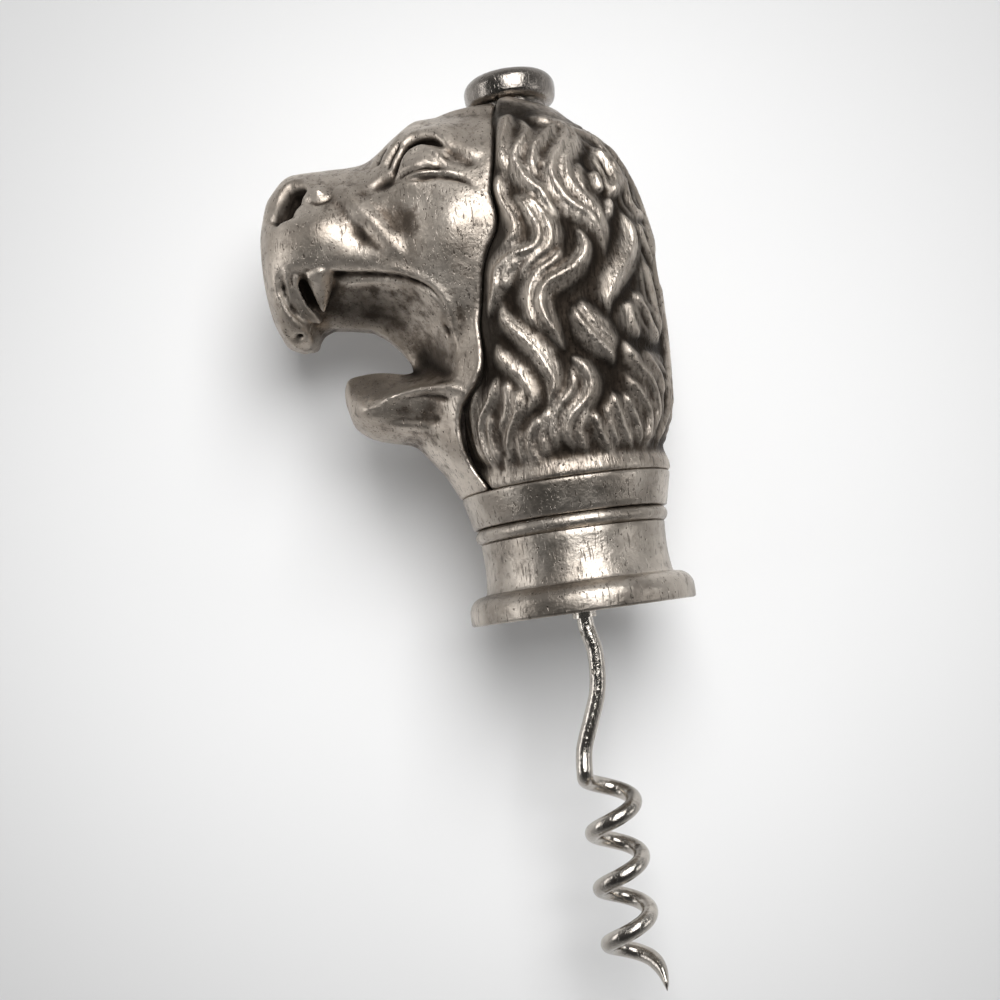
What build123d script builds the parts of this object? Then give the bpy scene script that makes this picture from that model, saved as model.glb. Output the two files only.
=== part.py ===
from build123d import *
import math
import os

# Corkscrew with a cast lion's head for a handle, in millimetres.
# The origin is the centre of the foot's flat underside. +Z runs up the spindle, from the worm to
# the knob, and the lion faces -X. The head is symmetric about the XZ plane.

# Collar: the turned foot, bead and band that the head stands on
flange_radius = 18.2
flange_height = 4.6
flange_crest_share = 0.42
neck_foot_radius = 15.1
neck_waist_radius = 14.75
neck_top_radius = 14.95
neck_top = 12.8
bead_radius = 15.6
bead_height = 2.5
band_foot_radius = 15.7
band_top_radius = 16.9
band_height = 5.4
collar_bore_radius = 10.5
spigot_radius = 12.4
spigot_height = 5.6
spigot_clearance = 0.1
edge_round = 0.4

# Foot plate, the coupling nut in its pocket, and the turning bush round the shank
plate_radius = 15.4
plate_thickness = 2.0
plate_boss_radius = 8.0
nut_across_flats = 10.0
nut_length = 16.0
nut_foot = 1.6
nut_clearance = 0.1
pocket_roof = 2.6
bush_radius = 6.4
bush_thickness = 1.2
bush_collar_radius = 1.95
bush_collar_drop = 0.9
bush_end_gap = 0.1
running_clearance = 0.05

# Spindle: the rod through the head, its washer and the knob that is its nut
rod_radius = 3.0
rod_foot = 9.6
rod_engagement = 4.8
rod_hole_radius = 3.3
seat_radius = 6.0
seat_depth = 0.7
washer_radius = 5.6
washer_thickness = 0.8
knob_radius = 7.55
knob_foot_radius = 5.3
knob_shoulder_radius = 7.0
knob_top_radius = 6.0
knob_height = 6.7
knob_crown = 0.35
knob_waist_share = 0.45
knob_shoulder_share = 0.84

# Head: overall sizes that the cast masses follow
head_height = 63.1
mane_depth = 20.0
mane_half_width = 20.6
muzzle_reach = 44.0
muzzle_half_width = 14.4
jaw_reach = 33.4
shell_wall = 3.0
cavity_front = 11.5
cavity_height = 54.0
web_half_width = 2.0
lip_half_width = 13.0
mouth_open_reach = 60.0
side_overrun = 30.0
end_overrun = 8.0

# Worm: one wire, threaded into the nut at the top and wound into an open right-hand helix
wire_radius = 1.325
thread_radius = 1.25
thread_length = 6.0
helix_radius = 3.6
helix_pitch = 8.75
helix_turns = 3.5
helix_top_drop = 26.3
tail_turns = 0.125
tail_lead = 3.2
tail_drop = 4.8
tail_flare = 0.8
tail_side = 1.6
gap_samples_per_turn = 90
parallel_limit = 1e-9

# Heights that follow from the sizes above
head_base = neck_top + bead_height + band_height
crown = head_base + head_height
seat = crown - seat_depth
knob_foot = seat + washer_thickness
nut_top = nut_foot + nut_length
lip_radius = band_top_radius - shell_wall - spigot_clearance
band_lip_height = spigot_height / 2

# Mane: height above the head's base, then centre, depth radius and half width,
# as shares of the head's height, the mane's depth and its half width
mane_shares = [
    (0.000, 0.000, 0.860, 0.835),
    (0.085, 0.020, 0.925, 0.905),
    (0.210, 0.030, 0.975, 0.965),
    (0.380, 0.030, 1.005, 1.000),
    (0.560, 0.025, 1.015, 1.000),
    (0.690, 0.005, 0.985, 0.965),
    (0.800, -0.040, 0.925, 0.885),
    (0.890, -0.115, 0.815, 0.755),
    (0.960, -0.215, 0.640, 0.585),
    (0.995, -0.270, 0.400, 0.350),
]

# Skull and muzzle: distance in front of the spindle, then centre height above the head's base,
# half height and half width, as shares of muzzle reach, head height, head height, muzzle half width
skull_shares = [
    (1.000, 0.645, 0.070, 0.24),
    (0.985, 0.645, 0.130, 0.46),
    (0.940, 0.650, 0.200, 0.68),
    (0.850, 0.665, 0.233, 0.83),
    (0.720, 0.660, 0.237, 0.90),
    (0.580, 0.650, 0.250, 0.99),
    (0.450, 0.655, 0.305, 1.08),
    (0.350, 0.640, 0.355, 1.14),
    (0.230, 0.640, 0.355, 1.18),
    (0.110, 0.640, 0.350, 1.20),
    (0.000, 0.640, 0.345, 1.21),
]

# Lower jaw: the same four numbers as shares of jaw reach, head height, head height, muzzle half width
jaw_shares = [
    (1.000, 0.298, 0.036, 0.30),
    (0.970, 0.285, 0.066, 0.48),
    (0.880, 0.270, 0.086, 0.64),
    (0.700, 0.260, 0.105, 0.74),
    (0.450, 0.245, 0.150, 0.86),
    (0.150, 0.260, 0.190, 1.00),
]

# Throat: height above the head's base, then front, back and half width from the spindle,
# as shares of the head's height, the mane's depth and the mane's half width
throat_shares = [
    (0.000, 0.855, 0.855, 0.830),
    (0.060, 0.945, 0.875, 0.838),
    (0.140, 1.080, 0.880, 0.845),
    (0.260, 1.080, 0.880, 0.850),
    (0.400, 0.900, 0.860, 0.830),
    (0.540, 0.550, 0.800, 0.700),
]

# Line of the deep groove between face and mane, top to bottom: distance in front of the spindle
# and height above the head's base, as shares of the mane's depth and the head's height
groove_shares = [
    (0.10, 1.120),
    (0.13, 0.950),
    (0.21, 0.862),
    (0.25, 0.780),
    (0.24, 0.712),
    (0.26, 0.640),
    (0.36, 0.582),
    (0.43, 0.505),
    (0.48, 0.425),
    (0.54, 0.352),
    (0.65, 0.285),
    (0.73, 0.205),
    (0.73, 0.125),
    (0.66, 0.035),
    (0.60, -0.080),
]

# Mouth: roof of the gap from the hooked tip back to the corner, then its floor forwards, as shares
# of the muzzle's reach and the head's height; first on the web at the middle, then along the lips
web_roof_shares = [(0.870, 0.438), (0.775, 0.486), (0.630, 0.467), (0.532, 0.402), (0.498, 0.345)]
web_floor_shares = [(0.498, 0.345), (0.610, 0.352), (0.715, 0.354), (0.790, 0.290)]
lip_roof_shares = [(0.960, 0.618), (0.730, 0.615), (0.560, 0.588), (0.400, 0.500), (0.327, 0.310)]
lip_floor_shares = [(0.327, 0.310), (0.480, 0.278), (0.640, 0.240), (0.800, 0.160)]

# Upper canine: how far forward and out to the side it stands, its root and tip heights, and its radii
fang_reach_share = 0.785
fang_side_share = 0.520
fang_root_share = 0.625
fang_tip_share = 0.470
fang_depth_share = 0.050
fang_width_share = 0.110

# Swellings of the face, raised or sunk, on both sides: reach, side and height of the centre as
# shares of the muzzle's reach, its half width and the head's height, then their three radii as
# shares of the same, and the tilt in degrees about the line from ear to ear
raised_shares = {
    "brow": (0.330, 0.560, 0.930, 0.170, 0.300, 0.060, 12),
    "cheek": (0.300, 0.900, 0.640, 0.200, 0.330, 0.150, 20),
    "whisker_pad": (0.790, 0.560, 0.715, 0.180, 0.330, 0.095, 10),
    "lip_roll": (0.600, 0.800, 0.610, 0.270, 0.180, 0.032, 6),
    "chin": (0.640, 0.330, 0.235, 0.110, 0.300, 0.060, 0),
}
eye_socket_shares = (0.400, 0.800, 0.860, 0.110, 0.300, 0.060, 10)
eyeball_shares = (0.370, 0.640, 0.850, 0.100, 0.260, 0.050, 10)
nostril_shares = (0.935, 0.400, 0.850, 0.050, 0.190, 0.050, 30)

# Tail: places along its curve, and its half width and half thickness as shares of the wire's radius
tail_shares = [(0.00, 1.00, 1.00), (0.30, 1.00, 0.92), (0.60, 0.94, 0.66), (0.85, 0.62, 0.36)]

# Shank between foot and helix, as sideways and downward shares of the helix radius and its top drop
shank_shares = [(0.00, 0.06), (0.24, 0.25), (0.10, 0.48), (-0.38, 0.66), (-0.86, 0.83)]

os.makedirs("parts", exist_ok=True)


def above_base(share):
    """Height of a point of the head that lies a share of the head's height above its base."""
    return head_base + share * head_height


def turned_ring(outline):
    """Solid of revolution about the spindle from a closed outline of (radius, height) points."""
    with BuildPart() as ring:
        with BuildSketch(Plane.XZ):
            with BuildLine():
                Polyline(outline, close=True)
            make_face()
        revolve(axis=Axis.Z)
    return ring.part


def upright_mass(sections):
    """Loft through level ellipses, each given as height, centre, depth radius and half width."""
    with BuildPart() as mass:
        for height, centre, depth, width in sections:
            with BuildSketch(Plane.XY.offset(height)):
                with Locations((centre, 0)):
                    Ellipse(depth, width)
        loft()
    return mass.part


def forward_mass(sections):
    """Loft through upright ellipses across the head, given as reach, height, half height and width."""
    with BuildPart() as mass:
        for reach, height, half_height, width in sections:
            with BuildSketch(Plane.YZ.offset(-reach)):
                with Locations((0, height)):
                    Ellipse(width, half_height)
        loft()
    return mass.part


def swelling(shares, mode):
    """Ellipsoid on each side of the face, added to or cut from the part under way."""
    reach, side, height, long_share, wide_share, tall_share, tilt = shares
    radii = (long_share * muzzle_reach, wide_share * muzzle_half_width, tall_share * head_height)
    ball = scale(Sphere(1, mode=Mode.PRIVATE), by=radii, mode=Mode.PRIVATE)
    across = side * muzzle_half_width
    for offset in (across, -across):
        with Locations((-reach * muzzle_reach, offset, above_base(height))):
            add(ball, rotation=(0, tilt, 0), mode=mode)


def mouth_face(roof_shares, floor_shares):
    """Side outline of the mouth gap, open to the front."""
    roof = [(-reach * muzzle_reach, above_base(height)) for reach, height in roof_shares]
    floor = [(-reach * muzzle_reach, above_base(height)) for reach, height in floor_shares]
    Spline(roof)
    Spline(floor)
    Polyline(floor[-1], (-mouth_open_reach, floor[-1][1]), (-mouth_open_reach, roof[0][1]), roof[0])


def biarc_joint(start, start_tangent, end, end_tangent):
    """Point where two arcs meet that leave start and reach end along the given unit tangents."""
    chord = end - start
    tangents = start_tangent + end_tangent
    quadratic = 2 * (1 - start_tangent.dot(end_tangent))
    linear = 2 * chord.dot(tangents)
    constant = -chord.dot(chord)
    if quadratic < parallel_limit:
        reach = -constant / linear
    else:
        reach = (-linear + math.sqrt(linear * linear - 4 * quadratic * constant)) / (2 * quadratic)
    return (start + end + (start_tangent - end_tangent) * reach) / 2


# Foot: neck and flange turned as one piece, with a spigot that centres the bead and the band
with BuildPart() as foot_spool:
    with BuildSketch(Plane.XZ):
        with BuildLine():
            Line((plate_radius + spigot_clearance, 0), (flange_radius - edge_round, 0))
            Line((flange_radius - edge_round, 0), (flange_radius, edge_round))
            Line((flange_radius, edge_round), (flange_radius, flange_crest_share * flange_height))
            TangentArc(
                (flange_radius, flange_crest_share * flange_height),
                (neck_foot_radius + edge_round, flange_height),
                tangent=(0, 1),
            )
            Line((neck_foot_radius + edge_round, flange_height), (neck_foot_radius, flange_height))
            ThreePointArc(
                (neck_foot_radius, flange_height),
                (neck_waist_radius, (flange_height + neck_top) / 2),
                (neck_top_radius, neck_top),
            )
            Polyline(
                (neck_top_radius, neck_top),
                (spigot_radius, neck_top),
                (spigot_radius, neck_top + spigot_height),
                (collar_bore_radius, neck_top + spigot_height),
                (collar_bore_radius, plate_thickness),
                (plate_radius + spigot_clearance, plate_thickness),
                (plate_radius + spigot_clearance, 0),
            )
        make_face()
    revolve(axis=Axis.Z)
foot_spool.part.label = "foot_spool"
export_step(foot_spool.part, "parts/foot_spool.step")

# Bead: a half-round ring slipped over the spigot
with BuildPart() as bead_ring:
    with BuildSketch(Plane.XZ):
        with BuildLine():
            Polyline(
                (bead_radius - bead_height / 2, neck_top),
                (spigot_radius + spigot_clearance, neck_top),
                (spigot_radius + spigot_clearance, neck_top + bead_height),
                (bead_radius - bead_height / 2, neck_top + bead_height),
            )
            ThreePointArc(
                (bead_radius - bead_height / 2, neck_top + bead_height),
                (bead_radius, neck_top + bead_height / 2),
                (bead_radius - bead_height / 2, neck_top),
            )
        make_face()
    revolve(axis=Axis.Z)
bead_ring.part.label = "bead_ring"
export_step(bead_ring.part, "parts/bead_ring.step")

# Band: tapers out to the head and carries a lip that centres the two castings
band_foot = neck_top + bead_height
with BuildPart() as neck_band:
    add(
        turned_ring(
            [
                (spigot_radius + spigot_clearance, band_foot),
                (band_foot_radius, band_foot),
                (band_top_radius, head_base - edge_round),
                (band_top_radius - edge_round, head_base),
                (lip_radius, head_base),
                (lip_radius, head_base + band_lip_height),
                (collar_bore_radius, head_base + band_lip_height),
                (collar_bore_radius, neck_top + spigot_height + spigot_clearance),
                (spigot_radius + spigot_clearance, neck_top + spigot_height + spigot_clearance),
            ]
        )
    )
neck_band.part.label = "neck_band"
export_step(neck_band.part, "parts/neck_band.step")

# Foot plate: closes the foot, and holds the coupling nut in a hexagonal pocket
pocket_across_flats = nut_across_flats + 2 * nut_clearance
with BuildPart() as foot_plate:
    Cylinder(plate_radius, plate_thickness, align=(Align.CENTER, Align.CENTER, Align.MIN))
    Cylinder(
        plate_boss_radius,
        nut_top + pocket_roof,
        align=(Align.CENTER, Align.CENTER, Align.MIN),
    )
    with BuildSketch(Plane.XY):
        RegularPolygon(pocket_across_flats / 2, side_count=6, major_radius=False)
    extrude(amount=nut_top, mode=Mode.SUBTRACT)
    with BuildSketch(Plane.XY):
        Circle(bush_radius + running_clearance)
    extrude(amount=bush_thickness + bush_end_gap, mode=Mode.SUBTRACT)
    with BuildSketch(Plane.XY.offset(nut_top)):
        Circle(rod_hole_radius)
    extrude(amount=pocket_roof, mode=Mode.SUBTRACT)
foot_plate.part.label = "foot_plate"
export_step(foot_plate.part, "parts/foot_plate.step")

# Coupling nut: the rod screws in from above and the worm's shank from below
with BuildPart() as coupling_nut:
    with BuildSketch(Plane.XY.offset(nut_foot)):
        RegularPolygon(nut_across_flats / 2, side_count=6, major_radius=False)
    extrude(amount=nut_length)
    with BuildSketch(Plane.XY.offset(nut_foot)):
        Circle(thread_radius + running_clearance)
    extrude(amount=thread_length + running_clearance, mode=Mode.SUBTRACT)
    with BuildSketch(Plane.XY.offset(rod_foot - running_clearance)):
        Circle(rod_radius + running_clearance)
    extrude(amount=nut_top - rod_foot + running_clearance, mode=Mode.SUBTRACT)
coupling_nut.part.label = "coupling_nut"
export_step(coupling_nut.part, "parts/coupling_nut.step")

# Turning bush: flush in the foot, with the small collar that shows round the shank
with BuildPart() as shank_bush:
    Cylinder(bush_radius, bush_thickness, align=(Align.CENTER, Align.CENTER, Align.MIN))
    with BuildSketch(Plane.XY):
        Circle(bush_collar_radius)
    extrude(amount=-bush_collar_drop)
    with BuildSketch(Plane.XY.offset(-bush_collar_drop)):
        Circle(wire_radius + running_clearance)
    extrude(amount=bush_collar_drop + bush_thickness, mode=Mode.SUBTRACT)
shank_bush.part.label = "shank_bush"
export_step(shank_bush.part, "parts/shank_bush.step")

# Rod: clamps the whole stack between the nut in the foot and the knob on the crown
rod_top = knob_foot + rod_engagement
with BuildPart() as tie_rod:
    with BuildSketch(Plane.XY.offset(rod_foot)):
        Circle(rod_radius)
    extrude(amount=rod_top - rod_foot)
tie_rod.part.label = "tie_rod"
export_step(tie_rod.part, "parts/tie_rod.step")

# Washer under the knob
with BuildPart() as knob_washer:
    with BuildSketch(Plane.XY.offset(seat)):
        Circle(washer_radius)
        Circle(rod_radius + running_clearance, mode=Mode.SUBTRACT)
    extrude(amount=washer_thickness)
knob_washer.part.label = "knob_washer"
export_step(knob_washer.part, "parts/knob_washer.step")

# Knob: a button with a bulging side and a slightly domed top, bored blind for the rod
knob_top = knob_foot + knob_height
knob_rim = knob_foot + knob_shoulder_share * knob_height
with BuildPart() as knob:
    with BuildSketch(Plane.XZ):
        with BuildLine():
            Line((0, knob_foot), (knob_foot_radius, knob_foot))
            ThreePointArc(
                (knob_foot_radius, knob_foot),
                (knob_radius, knob_foot + knob_waist_share * knob_height),
                (knob_shoulder_radius, knob_rim),
            )
            Line((knob_shoulder_radius, knob_rim), (knob_top_radius, knob_top - knob_crown))
            TangentArc((0, knob_top), (knob_top_radius, knob_top - knob_crown), tangent=(1, 0))
            Line((0, knob_top), (0, knob_foot))
        make_face()
    revolve(axis=Axis.Z)
    with BuildSketch(Plane.XY.offset(knob_foot)):
        Circle(rod_radius + running_clearance)
    extrude(amount=rod_engagement + running_clearance, mode=Mode.SUBTRACT)
knob.part.label = "knob"
export_step(knob.part, "parts/knob.step")

# Masses of the head
mane_sections = [
    (above_base(height), centre * mane_depth, depth * mane_depth, width * mane_half_width)
    for height, centre, depth, width in mane_shares
]
mane_mass = upright_mass(mane_sections)
skull_mass = forward_mass(
    [
        (reach * muzzle_reach, above_base(height), half * head_height, width * muzzle_half_width)
        for reach, height, half, width in skull_shares
    ]
)
jaw_mass = forward_mass(
    [
        (reach * jaw_reach, above_base(height), half * head_height, width * muzzle_half_width)
        for reach, height, half, width in jaw_shares
    ]
)
throat_mass = upright_mass(
    [
        (
            above_base(height),
            (back - front) / 2 * mane_depth,
            (back + front) / 2 * mane_depth,
            width * mane_half_width,
        )
        for height, front, back, width in throat_shares
    ]
)

# Hollow inside the castings: the mane's own sections less the wall, flat at the front
hollow_sections = [
    (height, centre, depth - shell_wall, width - shell_wall)
    for height, centre, depth, width in mane_sections
    if height <= head_base + cavity_height
]
hollow_mass = upright_mass(hollow_sections)
with BuildPart() as hollow:
    add(hollow_mass)
    with BuildSketch(Plane.YZ.offset(-cavity_front)):
        with Locations((0, head_base + head_height / 2)):
            Rectangle(2 * side_overrun, 2 * head_height)
    extrude(amount=-side_overrun, mode=Mode.SUBTRACT)
    with BuildSketch(Plane.XY.offset(head_base)):
        Circle(lip_radius + spigot_clearance)
    extrude(amount=band_lip_height + spigot_clearance)

# Everything behind the groove between face and mane
with BuildPart() as mane_side:
    with BuildSketch(Plane.XZ.offset(-side_overrun)):
        with BuildLine():
            groove = [(-reach * mane_depth, above_base(height)) for reach, height in groove_shares]
            Spline(groove)
            Polyline(
                groove[-1],
                (mane_depth + end_overrun, groove[-1][1]),
                (mane_depth + end_overrun, groove[0][1]),
                groove[0],
            )
        make_face()
    extrude(amount=2 * side_overrun)

# Open mouth: narrow at the web in the middle, and wider out to the lips
with BuildPart() as mouth_gap:
    for side in (side_overrun, lip_half_width):
        with BuildSketch(Plane.XZ.offset(side)):
            with BuildLine():
                mouth_face(lip_roof_shares, lip_floor_shares)
            make_face()
    for side in (web_half_width, -web_half_width):
        with BuildSketch(Plane.XZ.offset(side)):
            with BuildLine():
                mouth_face(web_roof_shares, web_floor_shares)
            make_face()
    for side in (-lip_half_width, -side_overrun):
        with BuildSketch(Plane.XZ.offset(side)):
            with BuildLine():
                mouth_face(lip_roof_shares, lip_floor_shares)
            make_face()
    loft(ruled=True)

# Face: forehead, muzzle, jaws and throat, down to the collar
with BuildPart() as fang:
    with BuildSketch(Plane.XY.offset(above_base(fang_root_share))) as fang_root:
        Ellipse(fang_depth_share * muzzle_reach, fang_width_share * muzzle_half_width)
    loft([fang_root.sketch.face(), Vertex(0, 0, above_base(fang_tip_share))])
with BuildPart() as face_shell:
    add(skull_mass)
    add(jaw_mass)
    add(throat_mass)
    for shares in raised_shares.values():
        swelling(shares, Mode.ADD)
    swelling(eye_socket_shares, Mode.SUBTRACT)
    swelling(eyeball_shares, Mode.ADD)
    swelling(nostril_shares, Mode.SUBTRACT)
    add(mouth_gap.part, mode=Mode.SUBTRACT)
    for offset in (fang_side_share * muzzle_half_width, -fang_side_share * muzzle_half_width):
        with Locations((-fang_reach_share * muzzle_reach, offset, 0)):
            add(fang.part)
    add(mane_side.part, mode=Mode.SUBTRACT)
    add(hollow.part, mode=Mode.SUBTRACT)
    split(bisect_by=Plane.XY.offset(head_base), keep=Keep.TOP)
    with BuildSketch(Plane.XY.offset(seat)):
        Circle(seat_radius)
    extrude(amount=end_overrun, mode=Mode.SUBTRACT)
    with BuildSketch(Plane.XY.offset(head_base)):
        Circle(rod_hole_radius)
    extrude(amount=head_height, mode=Mode.SUBTRACT)
face_shell.part.label = "face_shell"
export_step(face_shell.part, "parts/face_shell.step")

# Mane: the back of the head, down to the collar
with BuildPart() as mane_shell:
    add(mane_mass)
    add(mane_side.part, mode=Mode.INTERSECT)
    add(hollow.part, mode=Mode.SUBTRACT)
    with BuildSketch(Plane.XY.offset(seat)):
        Circle(seat_radius)
    extrude(amount=end_overrun, mode=Mode.SUBTRACT)
    with BuildSketch(Plane.XY.offset(head_base)):
        Circle(rod_hole_radius)
    extrude(amount=head_height, mode=Mode.SUBTRACT)
mane_shell.part.label = "mane_shell"
export_step(mane_shell.part, "parts/mane_shell.step")


def helix_point(turn):
    """Point of the worm's centre line, counted in turns down from the top of the helix."""
    angle = math.pi - 2 * math.pi * turn
    drop = helix_top_drop + helix_pitch * turn
    return Vector(helix_radius * math.cos(angle), helix_radius * math.sin(angle), -drop)


def helix_tangent(turn):
    """Direction of the worm's centre line, going down, at that turn."""
    angle = math.pi - 2 * math.pi * turn
    slope = helix_pitch / (2 * math.pi)
    return Vector(
        helix_radius * math.sin(angle), -helix_radius * math.cos(angle), -slope
    ).normalized()


# Worm: threaded end, bowed shank and helix in one sweep, then a flattened, pointed tail
shank_points = [Vector(side * helix_radius, 0, -drop * helix_top_drop) for side, drop in shank_shares]
route = shank_points + [helix_point(0)]
down = Vector(0, 0, -1)
tangents = [down]
for before, after in zip(route, route[2:]):
    tangents.append((after - before).normalized())
tangents.append(helix_tangent(0))
quarter_count = round((helix_turns - tail_turns) * 4)
turn_step = (helix_turns - tail_turns) / quarter_count
for step in range(1, quarter_count + 1):
    route.append(helix_point(step * turn_step))
    tangents.append(helix_tangent(step * turn_step))
tail_start = route[-1]
tail_tip = Vector(helix_radius + tail_flare, -tail_side, tail_start.Z - tail_drop)
with BuildLine() as tail_curve:
    Bezier(tail_start, tail_start + tangents[-1] * tail_lead, tail_tip)
tail_line = tail_curve.line
tail_sections = []
for place, width, thickness in tail_shares:
    heading = tail_line % place
    across = heading.cross(Vector(1, 0, 0))
    with BuildSketch(Plane(origin=tail_line @ place, x_dir=across, z_dir=heading)) as section:
        Ellipse(width * wire_radius, thickness * wire_radius)
    tail_sections.append(section.sketch.face())
tail_sections.append(Vertex(tail_tip))
shoulder = nut_foot - bush_end_gap
thread_top = Vector(0, 0, shoulder)
with BuildPart() as worm:
    with BuildLine() as wire:
        Line(thread_top, route[0])
        for index in range(len(route) - 1):
            joint = biarc_joint(route[index], tangents[index], route[index + 1], tangents[index + 1])
            first = TangentArc(route[index], joint, tangent=tangents[index])
            TangentArc(joint, route[index + 1], tangent=first % 1)
    with BuildSketch(Plane(origin=thread_top, z_dir=down)):
        Circle(wire_radius)
    sweep()
    with BuildSketch(Plane.XY.offset(shoulder)):
        Circle(thread_radius)
    extrude(amount=thread_length + bush_end_gap)
    loft(tail_sections)
worm.part.label = "worm"
export_step(worm.part, "parts/worm.step")

# What the finished solids measure, to set against the sizes asked for
wire_length = sum(edge.length for edge in wire.line.edges())
section_area = math.pi * wire_radius**2
thread_volume = math.pi * thread_radius**2 * (thread_length + bush_end_gap)
round_volume = section_area * wire_length + thread_volume
next_turn = [
    (helix_point(step / gap_samples_per_turn) - helix_point(0)).length - 2 * wire_radius
    for step in range(gap_samples_per_turn // 2, 2 * gap_samples_per_turn)
]
print("worm: wire length", wire_length, "volume", worm.part.volume, "of which the tail adds to", round_volume)
print("worm: least gap between turns", min(next_turn))
for piece in (foot_spool, bead_ring, neck_band, foot_plate, coupling_nut, knob, face_shell, mane_shell):
    print(piece.part.label, "volume", piece.part.volume, "box", piece.part.bounding_box().size)
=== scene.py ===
import math
import bpy
import numpy as np
import openvdb
from mathutils import Matrix, Vector


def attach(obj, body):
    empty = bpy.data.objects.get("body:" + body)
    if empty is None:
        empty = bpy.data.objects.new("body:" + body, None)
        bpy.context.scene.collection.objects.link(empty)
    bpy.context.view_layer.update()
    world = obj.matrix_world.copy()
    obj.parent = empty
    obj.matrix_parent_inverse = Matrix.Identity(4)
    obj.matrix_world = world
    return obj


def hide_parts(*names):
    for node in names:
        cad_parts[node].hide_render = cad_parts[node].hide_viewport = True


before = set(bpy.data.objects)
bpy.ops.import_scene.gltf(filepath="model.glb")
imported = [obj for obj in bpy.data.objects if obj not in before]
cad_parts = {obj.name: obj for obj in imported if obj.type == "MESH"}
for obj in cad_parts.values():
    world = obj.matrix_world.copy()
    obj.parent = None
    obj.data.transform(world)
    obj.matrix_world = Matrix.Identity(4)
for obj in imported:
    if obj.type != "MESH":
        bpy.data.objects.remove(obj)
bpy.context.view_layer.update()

# Corkscrew with a cast lion's head. The two castings are sculpted here as solid fields in millimetres
# and meshed. Points measured on the photograph are carried to them along the camera's lines of sight.
mm = 0.001
# spacing of the castings' grid, in millimetres
grain = 0.34

# Camera
lens_pixels = 1550.0
picture = 1000
view_rise = math.radians(4.5)
view_roll = math.radians(8.0)
eye = np.array([-10.9, -250.8, 0.1])
ahead = np.array([0.0, math.cos(view_rise), math.sin(view_rise)])
level_right = np.array([1.0, 0.0, 0.0])
level_up = np.array([0.0, -math.sin(view_rise), math.cos(view_rise)])
lens_right = math.cos(view_roll) * level_right - math.sin(view_roll) * level_up
lens_up = math.sin(view_roll) * level_right + math.cos(view_roll) * level_up


def linked(name, data):
    """A new object in the scene, at the origin."""
    piece = bpy.data.objects.new(name, data)
    bpy.context.scene.collection.objects.link(piece)
    return piece


def sight(pixels):
    """Unit lines of sight from the eye through picture points."""
    spots = np.asarray(pixels, float) - picture / 2
    lines = lens_pixels * ahead + spots[:, :1] * lens_right - spots[:, 1:] * lens_up
    return lines / np.linalg.norm(lines, axis=1, keepdims=True)


def at_depth(pixels, depth):
    """Picture points carried to the upright plane y = depth."""
    lines = sight(pixels)
    return eye + lines * ((depth - eye[1]) / lines[:, 1])[:, None]


camera_data = bpy.data.cameras.new("camera")
camera_data.sensor_width = 36.0
camera_data.lens = camera_data.sensor_width * lens_pixels / picture
camera_data.clip_start = 0.01
camera = linked("camera", camera_data)
turn = np.eye(4)
turn[:3, 0] = lens_right
turn[:3, 1] = lens_up
turn[:3, 2] = -ahead
turn[:3, 3] = eye * mm
camera.matrix_world = Matrix(turn.tolist())
bpy.context.scene.camera = camera
bpy.context.scene.view_settings.view_transform = "Standard"

# Section tables (millimetres)
head_base = 20.7
crown = 83.8
muzzle_front = -44.0
jaw_front = -33.4
throat_top = 62.0
# how softly the skull, jaw and throat run into each other
mass_blend = 3.0
# place along x, height of the middle, half height, half width
skull_rows = [
    (-44.0, 61.4, 4.4, 3.5),
    (-43.3, 61.4, 8.2, 6.6),
    (-41.4, 61.7, 12.6, 9.8),
    (-37.4, 62.7, 14.7, 12.0),
    (-31.7, 62.4, 15.0, 12.8),
    (-25.5, 61.7, 15.8, 13.9),
    (-19.8, 62.0, 19.2, 15.2),
    (-15.4, 61.1, 22.4, 16.1),
    (-10.1, 61.1, 22.4, 16.7),
    (-4.8, 61.1, 22.1, 17.0),
    (0.0, 61.1, 21.8, 17.2),
]
jaw_rows = [
    (-33.4, 39.5, 2.3, 4.3),
    (-32.4, 38.7, 4.2, 6.9),
    (-29.4, 37.7, 5.4, 9.2),
    (-23.4, 37.1, 6.6, 10.7),
    (-15.0, 36.2, 9.5, 12.4),
    (-5.0, 37.1, 12.0, 14.4),
]
# height, front, back and half width
throat_rows = [
    (20.7, 17.1, 17.1, 17.1),
    (24.5, 18.9, 17.5, 17.3),
    (29.5, 21.6, 17.6, 17.4),
    (37.1, 21.6, 17.6, 17.5),
    (45.9, 18.0, 17.2, 17.1),
    (54.8, 11.0, 16.0, 14.4),
]
# height, middle, half depth and half width
mane_rows = [
    (20.7, 0.0, 17.2, 17.2),
    (26.1, 0.4, 18.5, 18.6),
    (34.0, 0.6, 19.5, 19.9),
    (44.7, 0.6, 20.1, 20.6),
    (56.0, 0.5, 20.3, 20.6),
    (64.2, 0.1, 19.7, 19.9),
    (71.2, -0.8, 18.5, 18.2),
    (76.9, -2.3, 16.3, 15.6),
    (81.3, -4.3, 12.8, 13.2),
    (83.5, -5.4, 8.0, 10.4),
]


def bent(share, a, b, slope_a, slope_b):
    """Cubic from a to b that leaves and arrives with the given slopes."""
    return ((2 * share**3 - 3 * share**2 + 1) * a + (share**3 - 2 * share**2 + share) * slope_a
            + (3 * share**2 - 2 * share**3) * b + (share**3 - share**2) * slope_b)


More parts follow.
